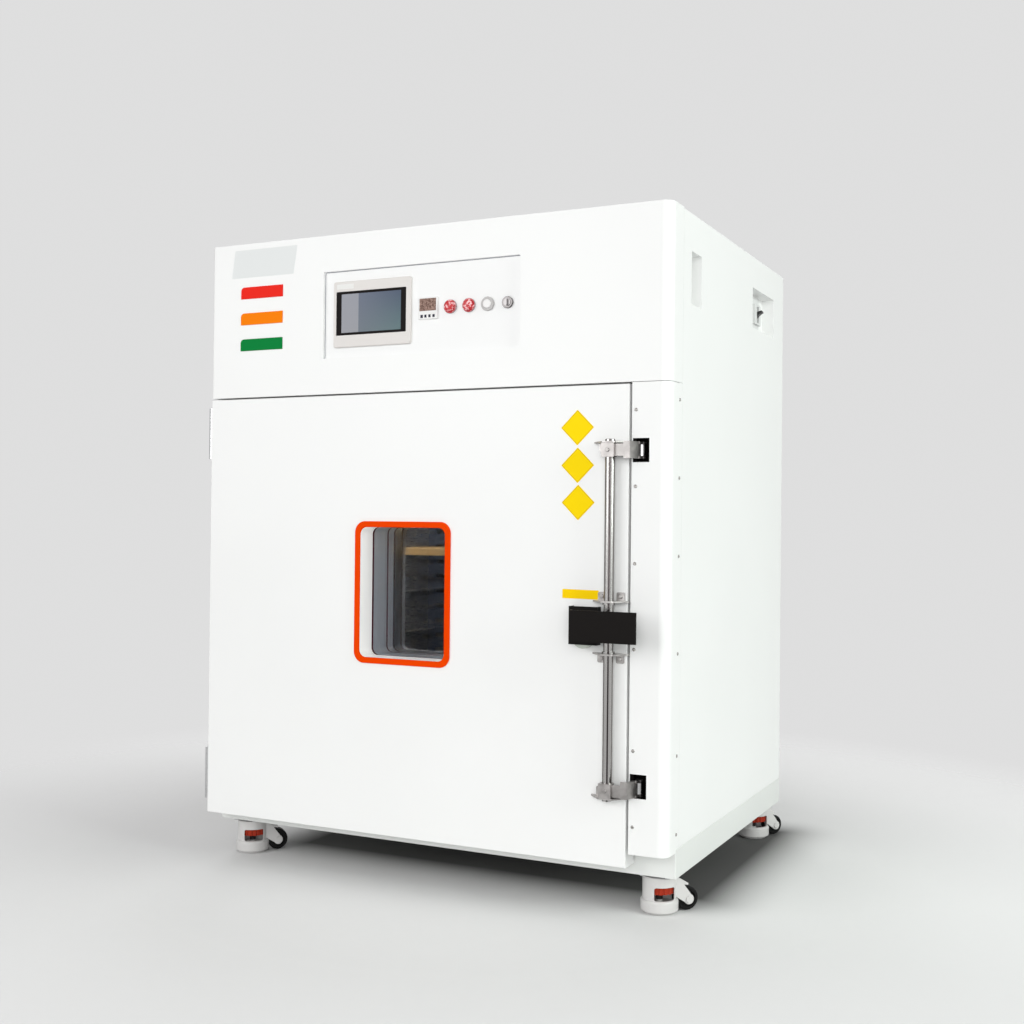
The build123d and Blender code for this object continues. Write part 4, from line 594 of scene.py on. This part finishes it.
# Below BUFFER_TOP the buffer gets a grey-green that paints the shade on the door below the plate
rubber = (hardware.millimetres("Z") < BUFFER_TOP) * stop_plate
stop_plate_and_shaded_buffer = hardware.mix(rubber, (0.007, 0.006, 0.006), (0.50, 0.53, 0.48))
hardware.set(Base_Color=hardware.mix(stop_plate, bright, stop_plate_and_shaded_buffer), Specular_IOR_Level=0.06)
hardware.set(Metallic=1 - stop_plate, Roughness=0.34 + stop_plate * 0.1 + (plating - 0.5) * 0.16)
hardware.set(Normal=hardware.bump(plating, 0.05, 0.0002))
HARDWARE = hardware.material
print("stop plate from", STOP_FOOT, "to", STOP_TOP)

# %% Window sleeve
SEAL_DEPTHS = (51.0, 55.0, 113.0, 117.0, 142.0, 146.0, 176.0, 180.0)
SEAL_HALF = 1.6
FRONT_PART_END = 53.0
sleeve = Finish("window_sleeve")
depth = sleeve.millimetres("Y")
seals = any_of([(depth - place).size() < SEAL_HALF for place in SEAL_DEPTHS])
deep = depth > FRONT_PART_END
strands = sleeve.noise(40.0, 3.0, (1.0, 14.0, 1.0))
deep_tone = sleeve.mix(strands, (0.46, 0.50, 0.56), (0.70, 0.75, 0.80))
sleeve_tone = sleeve.mix(deep, (0.95, 0.95, 0.94), deep_tone)
sleeve.set(Base_Color=sleeve.mix(seals, sleeve_tone, (0.10, 0.020, 0.035)))
sleeve.set(Roughness=0.42 - deep * 0.14, Metallic=deep * (1 - seals) * 0.3)
sleeve.set(Normal=sleeve.bump(strands, 0.08, 0.0003))
# Painted light: a faint glow on the sleeve's front part, which lies in shade, but not on its seals
painted_front_light = sleeve.mix(deep.most(seals), (0.17, 0.17, 0.168), (0.0, 0.0, 0.0))
sleeve.set(Emission_Color=painted_front_light, Emission_Strength=1.0)
SLEEVE = sleeve.material
print("pane seals", len(SEAL_DEPTHS))

# %% [markdown]
# ## Handing the finishes out
#
# A frame node keeps its mesh. Only its material slots change, and one table is easier to read than
# sixty assignments. Names that end alike, such as those of the four casters' wheels, share a rule.

# %% Assign finishes to the frame's nodes
FINISHES = {
    "outer_casing": WHITE, "control_fascia": WHITE, "latch_column": WHITE, "door_shell": WHITE,
    "back_panel": WHITE, "base_frame": BASE_WHITE_AND_SHADE, "front_frame": FRAME_WHITE, "control_panel": PANEL_WHITE,
    "chamber_liner": LINER, "fan_baffle": BLUED, "shelf_rails": LINER, "door_plug": PLUG,
    "latch_rod": GROUND_BAR, "latch_arms": BRIGHT_STRIP, "latch_keepers": KEEPER_PAINTED_SHADE,
    "fan_impeller": BRIGHT_STRIP, "shelf_upper": SHELF_WIRE, "shelf_lower": SHELF_WIRE,
    "hinge_cabinet_leaves": ZINC, "hinge_door_leaves": ZINC, "latch_brackets": HARDWARE,
    "latch_roller_upper": ROLLER_STEEL, "latch_roller_lower": ROLLER_STEEL, "latch_handle": LEVER_BLACK,
    "insulation": WOOL, "door_insulation": WOOL, "door_gasket": GASKET, "window_trim": TRIM_ORANGE,
    "window_panes": PANE_GLASS, "window_spacers": SLEEVE, "screen_bezel": BEZEL_SILVER,
    "screen_glass": SCREEN, "over_temp_controller": CONTROLLER, "alarm_lamps": ALARM_LAMP,
    "signal_lamps": SIGNALS, "switch_bezels": SWITCH_RINGS, "power_switch": RING_METAL,
    "light_button": BUTTON_WHITE, "fan_motor": MOTOR_CAST, "heater_elements": HEATER,
    "main_breaker": BREAKER_GREY, "breaker_toggle": BREAKER_BLACK, "cable_gland": GLAND_BLACK,
    "caster_plates": ZINC,
}
ENDINGS = {"_housing": CASTER_GREY, "_wheel": WHEEL_BLACK, "_foot": FOOT_GREY, "_dial": DIAL_RED}


def finish_for(name):
    if name in FINISHES:
        return FINISHES[name]
    return next(material for ending, material in ENDINGS.items() if name.endswith(ending))


for name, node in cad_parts.items():
    node.data.materials.clear()
    node.data.materials.append(finish_for(name))
print("finishes given to", len(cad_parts), "nodes")

# %% [markdown]
# ## Building small pieces as meshes
#
# A sheet-metal shop cuts flat outlines and breaks their edges. `slab` does the same: it raises an
# outline and bevels its front edge. `add_piece` turns a finished mesh into an object that rides on
# the body that carries it, with one material slot for the finish that it is given.

# %% Mesh tools
def add_piece(name, mesh, material, body):
    mesh.normal_update()
    data = bpy.data.meshes.new(name)
    mesh.to_mesh(data)
    mesh.free()
    data.materials.append(material)
    piece = bpy.data.objects.new(name, data)
    bpy.context.scene.collection.objects.link(piece)
    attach(piece, body)


def slab(mesh, outline, to_frame, thickness, edge):
    # outline is a closed list of (across, up) in millimetres; to_frame places (across, up, out)
    middle = Vector((sum(p[0] for p in outline), sum(p[1] for p in outline))) / len(outline)
    rows = []
    for out, shrink in ((0.0, 0.0), (thickness - edge, 0.0), (thickness, edge)):
        row = []
        for across, up in outline:
            towards = (middle - Vector((across, up))).normalized() * shrink
            row.append(mesh.verts.new(to_frame(across + towards.x, up + towards.y, out)))
        rows.append(row)
    count = len(outline)
    for low, high in zip(rows, rows[1:]):
        for index in range(count):
            following = (index + 1) % count
            mesh.faces.new((low[index], low[following], high[following], high[index]))
    mesh.faces.new(rows[-1])
    mesh.faces.new(rows[0][::-1])


ARC_STEPS = 5


def rounded_corners(corners, radius):
    # Replaces each corner of an outline with a short curve
    outline = []
    for index, corner in enumerate(corners):
        here = Vector(corner)
        back = (Vector(corners[index - 1]) - here).normalized()
        ahead = (Vector(corners[(index + 1) % len(corners)]) - here).normalized()
        for step in range(ARC_STEPS + 1):
            t = step / ARC_STEPS
            bend = here + back * radius * (1 - t) ** 2 + ahead * radius * t ** 2
            outline.append((bend.x, bend.y))
    return outline


def on_front(y):
    # Places an outline on a face that looks towards the viewer, at depth y
    return lambda across, up, out: spot(across, y - out, up)


# %% [markdown]
# ## Screws
#
# The latch column and the back panel are held by small pan-head screws with a cross recess. Each
# head is a dome on a polar grid, and points that fall inside the cross are pushed in. The grid is
# fine enough for the recess to be real geometry, and coarse enough for some thirty screws.

# %% A cross-recess screw head
SCREW_RADIUS = 3.6
SCREW_HEIGHT = 1.9
SCREW_RINGS = 7
SCREW_SECTORS = 24
# How far the dome falls towards its edge, and where the rim starts and how steeply it falls
DOME_DROP = 0.35
RIM_START = 0.82
RIM_FALL = 3.2
# The cross, in shares of the radius, and its depth at the middle, as a share of the height
CROSS_HALF_WIDTH = 0.17
CROSS_REACH = 0.62
CROSS_DEPTH = 0.55


def screw(mesh, centre, outward, turn):
    # The head stands on centre, with its top towards outward
    place = Matrix.Translation(centre) @ outward.to_track_quat("Z", "Y").to_matrix().to_4x4()

    def point(share, spoke, height):
        across = SCREW_RADIUS * share * math.cos(turn + spoke)
        up = SCREW_RADIUS * share * math.sin(turn + spoke)
        return mesh.verts.new(place @ (Vector((across, up, height)) / 1000.0))

    spokes = [2 * math.pi * sector / SCREW_SECTORS for sector in range(SCREW_SECTORS)]
    rows = []
    for ring in range(SCREW_RINGS + 1):
        share = ring / SCREW_RINGS
        rim = max(0.0, share - RIM_START) * RIM_FALL
        dome = SCREW_HEIGHT * (1 - DOME_DROP * share ** 2) * (1 - rim)
        recess = SCREW_HEIGHT * CROSS_DEPTH * (1 - share)
        row = []
        for spoke in spokes if ring else spokes[:1]:
            arms = sorted((abs(share * math.cos(spoke)), abs(share * math.sin(spoke))))
            in_cross = arms[0] < CROSS_HALF_WIDTH and arms[1] < CROSS_REACH
            row.append(point(share, spoke, dome - recess if in_cross else dome))
        rows.append(row)
    rows.append([point(1.0, spoke, 0.0) for spoke in spokes])
    for low, high in zip(rows, rows[1:]):
        for sector in range(SCREW_SECTORS):
            following = (sector + 1) % SCREW_SECTORS
            if len(low) == 1:
                mesh.faces.new((low[0], high[sector], high[following]))
            else:
                mesh.faces.new((low[sector], high[sector], high[following], low[following]))
    mesh.faces.new(rows[-1][::-1])


# %% Screws of the latch column
COLUMN_FRONT_X = 1062.4
COLUMN_FRONT_LEVELS = (1021.7, 869.0, 715.0, 544.3, 342.8, 191.6)
COLUMN_SIDE_Y = 54.0
COLUMN_SIDE_LEVELS = (1043.7, 886.8, 730.0, 535.0, 330.7, 174.0)
FRONT, RIGHT, BACK = Vector((0, -1, 0)), Vector((1, 0, 0)), Vector((0, 1, 0))

heads = bmesh.new()
for count, z in enumerate(COLUMN_FRONT_LEVELS):
    screw(heads, spot(COLUMN_FRONT_X, 0.0, z), FRONT, count * 0.7)
for count, z in enumerate(COLUMN_SIDE_LEVELS):
    screw(heads, spot(CABINET_WIDTH, COLUMN_SIDE_Y, z), RIGHT, count * 0.9)
add_piece("column_screws", heads, SCREW_METAL, "cabinet")
print("column screws", len(COLUMN_FRONT_LEVELS) + len(COLUMN_SIDE_LEVELS))

# %% Screws of the back panel
BACK_INSET = 10.0
BACK_SIDE_FOOT, BACK_SIDE_STEP = 175.0, 242.0
BACK_SIDE_LEVELS = [BACK_SIDE_FOOT + count * BACK_SIDE_STEP for count in range(6)]
BACK_ROW_LEVELS = (1418.0, 156.0)
BACK_ROW_PLACES = [CABINET_WIDTH * count / 5 for count in range(1, 5)]

heads = bmesh.new()
for x in (BACK_INSET, CABINET_WIDTH - BACK_INSET):
    for count, z in enumerate(BACK_SIDE_LEVELS):
        screw(heads, spot(x, CABINET_DEPTH, z), BACK, count * 1.1)
for count, x in enumerate(BACK_ROW_PLACES, start=1):
    for z in BACK_ROW_LEVELS:
        screw(heads, spot(x, CABINET_DEPTH, z), BACK, count * 0.5)
add_piece("back_panel_screws", heads, SCREW_METAL, "cabinet")
print("back screws", 2 * len(BACK_SIDE_LEVELS) + len(BACK_ROW_LEVELS) * len(BACK_ROW_PLACES))

# %% [markdown]
# ## Blank films and plates
#
# Three yellow diamonds and a yellow strip lie beside the latch, a pale plate on the fascia and a
# white tag on the screen's bezel. All of them are blank. They are film, 0.3 mm thick, with less shine
# than the paint, and the diamonds have a fine darker line just inside the edge. The line is drawn by
# how far a point lies from the diamond's middle, measured along its two diagonals.

# %% Label finishes
DIAMOND_PLACES = ((936.0, 988.8), (937.0, 912.0), (938.8, 836.4))
DIAMOND_HALF = 36.5
LINE_INSET = 2.4
LINE_HALF = 0.6
LINE_BROWN = (0.55, 0.30, 0.01)


def label_film(name, colour, line_mask=None):
    finish = Finish(name)
    ink = finish.noise(900.0, 2.0)
    shade = finish.mix(ink, tuple(c * 0.95 for c in colour), colour)
    if line_mask is not None:
        shade = finish.mix(line_mask(finish), shade, LINE_BROWN)
    finish.set(Base_Color=shade, Roughness=0.44 + (ink - 0.5) * 0.08, Specular_IOR_Level=0.06)
    finish.set(Normal=finish.bump(ink, 0.03, 0.0002))
    return finish.material


def diamond_line(finish):
    # 1 on the printed line of any of the diamonds
    lines = []
    for x, z in DIAMOND_PLACES:
        dx = (finish.millimetres("X") - x).size()
        dz = (finish.millimetres("Z") - z).size()
        lines.append((dx + dz - (DIAMOND_HALF - LINE_INSET)).size() < LINE_HALF)
    return any_of(lines)


DIAMOND_FILM = label_film("yellow_diamond_film", (0.97, 0.70, 0.0), diamond_line)
STRIP_FILM = label_film("yellow_strip_film", (0.99, 0.66, 0.0))
PLATE_FILM = label_film("pale_plate_film", (0.78, 0.80, 0.795))
TAG_FILM = label_film("white_tag_film", (0.82, 0.82, 0.80))
print("materials so far", len(bpy.data.materials))

# %% Diamonds, strip and plates
FILM_THICKNESS = 0.3
STRIP_CORNERS = [(906.0, 641.4), (986.0, 640.6), (986.0, 659.2), (906.0, 660.0)]
PLATE_CORNERS = [(55.4, 1356.5), (229.7, 1356.5), (239.4, 1421.0), (63.9, 1421.0)]
TAG_CORNERS = [(347.0, 1311.5), (391.0, 1311.5), (391.0, 1322.5), (347.0, 1322.5)]


def label(name, corners, radius, film, body, face=0.0, edge=0.12):
    # face is the depth of the surface that the film lies on
    mesh = bmesh.new()
    slab(mesh, rounded_corners(corners, radius), on_front(face), FILM_THICKNESS, edge)
    add_piece(name, mesh, film, body)


half = DIAMOND_HALF
for number, (x, z) in enumerate(DIAMOND_PLACES, start=1):
    diamond_corners = [(x - half, z), (x, z - half), (x + half, z), (x, z + half)]
    label("label_diamond_%d" % number, diamond_corners, 2.0, DIAMOND_FILM, "door")
label("label_strip", STRIP_CORNERS, 1.5, STRIP_FILM, "door")
label("pale_plate", PLATE_CORNERS, 2.0, PLATE_FILM, "cabinet")
label("screen_tag", TAG_CORNERS, 1.5, TAG_FILM, "cabinet", face=2.0, edge=0.1)
print("labels", len(DIAMOND_PLACES) + 3)

# %% [markdown]
# ## The studio
#
# A product shot of a white cabinet needs pale surroundings without a horizon. The floor is a disc
# that fades out between one and two metres from its middle, and the world behind it has the same grey
# for the camera. A product picture also has a soft shadow under the object, which is painted on the
# paper here as a dark patch. Two large lamps in front give the door its even tone, one at the right
# lifts the side, and one behind keeps the back from going grey.

# %% The floor's disc
FLOOR_RADIUS = 14.0
floor_mesh = bmesh.new()
bmesh.ops.create_circle(floor_mesh, cap_ends=True, segments=96, radius=FLOOR_RADIUS)
floor_data = bpy.data.meshes.new("studio_floor")
floor_mesh.to_mesh(floor_data)
floor_mesh.free()
floor = bpy.data.objects.new("studio_floor", floor_data)
bpy.context.scene.collection.objects.link(floor)
floor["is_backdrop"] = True
print("floor radius", FLOOR_RADIUS, "m")

# %% The floor's paper
# The painted shadow under the oven: its middle, half sizes, fade and darkness
SHADOW_PATCH_MIDDLE = (0.07, 0.15)
SHADOW_PATCH_HALF = (0.50, 0.33)
SHADOW_PATCH_FADE = 0.17
PAINTED_SHADOW_DARKNESS = 0.90
# The paper fades out over a length that starts this far from the floor's middle
FADE_START, FADE_LENGTH = 0.9, 1.2
# Towards the back it gives a little light of its own, which grows in the same manner
FAR_START, FAR_LENGTH = 0.8, 0.9
BEHIND_LEAD, BEHIND_LENGTH = 0.4, 1.4
studio = Finish("studio_floor_paper")
floor_x, floor_y = studio.axis("X"), studio.axis("Y")
from_middle = (floor_x * floor_x + floor_y * floor_y).power(0.5)
paper = studio.noise(30.0, 3.0)
sheet = studio.mix(paper, (0.800, 0.798, 0.796), (0.812, 0.810, 0.808))
sheet = studio.mix((from_middle - FADE_START).held(), sheet, (0.96, 0.96, 0.96))
past_side = ((floor_x - SHADOW_PATCH_MIDDLE[0]).size() - SHADOW_PATCH_HALF[0]).most(0.0)
past_end = ((floor_y - SHADOW_PATCH_MIDDLE[1]).size() - SHADOW_PATCH_HALF[1]).most(0.0)
past_shadow_patch = (past_side * past_side + past_end * past_end).power(0.5)
# Painted shadow: darkest over the oven's footprint, fading out past its edges
painted_shadow = (1 - past_shadow_patch / SHADOW_PATCH_FADE).held()
sheet = studio.mix(painted_shadow * painted_shadow * PAINTED_SHADOW_DARKNESS, sheet, (0.05, 0.05, 0.048))
behind = ((floor_y + BEHIND_LEAD) / BEHIND_LENGTH).held()
far = ((from_middle - FAR_START) / FAR_LENGTH).held()
far_light = studio.mix(far * behind, (0.0, 0.0, 0.0), (0.22, 0.22, 0.22))
studio.set(Base_Color=sheet, Roughness=0.9, Specular_IOR_Level=0.1)
studio.set(Emission_Color=far_light, Emission_Strength=1.0)
clear = studio.node("ShaderNodeBsdfTransparent")
fade = ((from_middle - FADE_START) / FADE_LENGTH).held()
layers = {0: fade, 1: studio.shader.outputs[0], 2: clear.outputs[0]}
blend = studio.node("ShaderNodeMixShader", None, layers)
studio.tree.links.new(blend.outputs[0], studio.output.inputs[0])
floor.data.materials.append(studio.material)
print("paper fades from", FADE_START, "to", round(FADE_START + FADE_LENGTH, 2), "m")

# %% The world
BACKDROP = (0.735, 0.735, 0.735)
FILL_STRENGTH = 0.36
world = bpy.data.worlds.new("studio_world")
world.use_nodes = True
bpy.context.scene.world = world
sky = world.node_tree
sky.nodes.clear()
seen = sky.nodes.new("ShaderNodeBackground")
seen.inputs[0].default_value = (*BACKDROP, 1.0)
fill = sky.nodes.new("ShaderNodeBackground")
fill.inputs[0].default_value = (1.0, 1.0, 1.0, 1.0)
fill.inputs[1].default_value = FILL_STRENGTH
path = sky.nodes.new("ShaderNodeLightPath")
looks = path.outputs["Is Camera Ray"]
for ray in ("Is Transmission Ray", "Is Glossy Ray"):
    either = sky.nodes.new("ShaderNodeMath")
    either.operation = "MAXIMUM"
    sky.links.new(looks, either.inputs[0])
    sky.links.new(path.outputs[ray], either.inputs[1])
    looks = either.outputs[0]
choice = sky.nodes.new("ShaderNodeMixShader")
sky.links.new(looks, choice.inputs[0])
sky.links.new(fill.outputs[0], choice.inputs[1])
sky.links.new(seen.outputs[0], choice.inputs[2])
world_output = sky.nodes.new("ShaderNodeOutputWorld")
sky.links.new(choice.outputs[0], world_output.inputs[0])
print("fill", FILL_STRENGTH)


# %% Lamps
def lamp_panel(name, place, target, size, power, colour=(1.0, 1.0, 1.0)):
    light = bpy.data.lights.new(name, "AREA")
    light.shape = "RECTANGLE"
    light.size = size[0]
    light.size_y = size[1]
    light.energy = power
    light.color = colour
    holder = bpy.data.objects.new(name, light)
    holder.location = place
    holder.rotation_mode = "QUATERNION"
    holder.rotation_quaternion = (Vector(target) - Vector(place)).to_track_quat("-Z", "Y")
    bpy.context.scene.collection.objects.link(holder)
    print(name, power, "W")


lamp_panel("key_panel", (-2.2, -4.4, 2.0), (0.0, 0.0, 0.75), (2.8, 2.6), 78.0)
lamp_panel("side_panel", (4.2, -0.6, 2.0), (0.2, 0.0, 0.8), (2.4, 2.4), 104.0, (0.93, 1.0, 0.95))
lamp_panel("front_panel", (1.9, -4.4, 1.5), (0.2, 0.0, 0.75), (2.4, 2.2), 77.0)
lamp_panel("back_panel_light", (-2.6, 4.2, 2.2), (0.0, 0.0, 0.7), (2.4, 2.2), 60.0)

# %% [markdown]
# The oven has a lamp in its chamber, which the white button on the panel switches. A narrow strip
# under the chamber's ceiling, just behind the door, stands for it and shows the shelf in the window.

# %% Chamber lamp
LAMP_STRIP = (0.40, 0.012)
BEHIND_PLUG = 0.008
BELOW_CEILING = 0.014
LEFT_OF_MIDDLE = 0.06
plug_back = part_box("door_plug")[1][1]
chamber_low, chamber_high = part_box("chamber_liner")
strip_middle = Vector((
    (chamber_low[0] + chamber_high[0]) / 2 - LEFT_OF_MIDDLE,
    plug_back + BEHIND_PLUG,
    chamber_high[2] - BELOW_CEILING,
))
strip_target = strip_middle + Vector((0.0, 0.3, -0.5))
lamp_panel("chamber_lamp", strip_middle, strip_target, LAMP_STRIP, 2.0, (1.0, 0.97, 0.94))

# %% [markdown]
# ## The camera
#
# The camera stands where the photographer stood: about 2.4 m in front of the door, 0.8 m to the
# right of the cabinet's right side and 0.8 m above the floor, looking 26 degrees to the left. It
# tilts up by half a degree and rolls a little, which a tripod head often does.

# %% Camera
YAW = math.radians(26.04)
PITCH = math.radians(0.46)
ROLL = math.radians(0.589)
CAMERA_PLACE = (1958.5, -2392.3, 794.9)
SENSOR_WIDTH = 36.0
FOCAL_SHARE = 1278.2 / 1024.0
ahead = Vector((-math.sin(YAW) * math.cos(PITCH), math.cos(YAW) * math.cos(PITCH), math.sin(PITCH)))
right = ahead.cross(Vector((0, 0, 1))).normalized()
above = right.cross(ahead)
tilted_right = right * math.cos(ROLL) + above * math.sin(ROLL)
tilted_up = above * math.cos(ROLL) - right * math.sin(ROLL)
lens_data = bpy.data.cameras.new("studio_camera")
lens_data.sensor_width = SENSOR_WIDTH
lens_data.lens = FOCAL_SHARE * SENSOR_WIDTH
lens_data.clip_start = 0.05
lens_data.clip_end = 60.0
camera = bpy.data.objects.new("studio_camera", lens_data)
bpy.context.scene.collection.objects.link(camera)
facing = Matrix((tilted_right, tilted_up, -ahead)).transposed()
camera.matrix_world = Matrix.Translation(spot(*CAMERA_PLACE)) @ facing.to_4x4()
bpy.context.scene.camera = camera
bpy.context.scene.view_settings.view_transform = "Standard"
print("camera lens", round(lens_data.lens, 2), "mm")

# %% [markdown]
# ## Closing the lesson
#
# The visible oven should be no larger than its frame. How far each side of its box lies from the
# frame's box is printed, in millimetres.

# %% Sizes and finish
new_low, new_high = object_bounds()
growth = zip((*cad_low, *cad_high), (*new_low, *new_high))
print("grown by", [round((after - before) * 1000, 2) for before, after in growth], "mm")
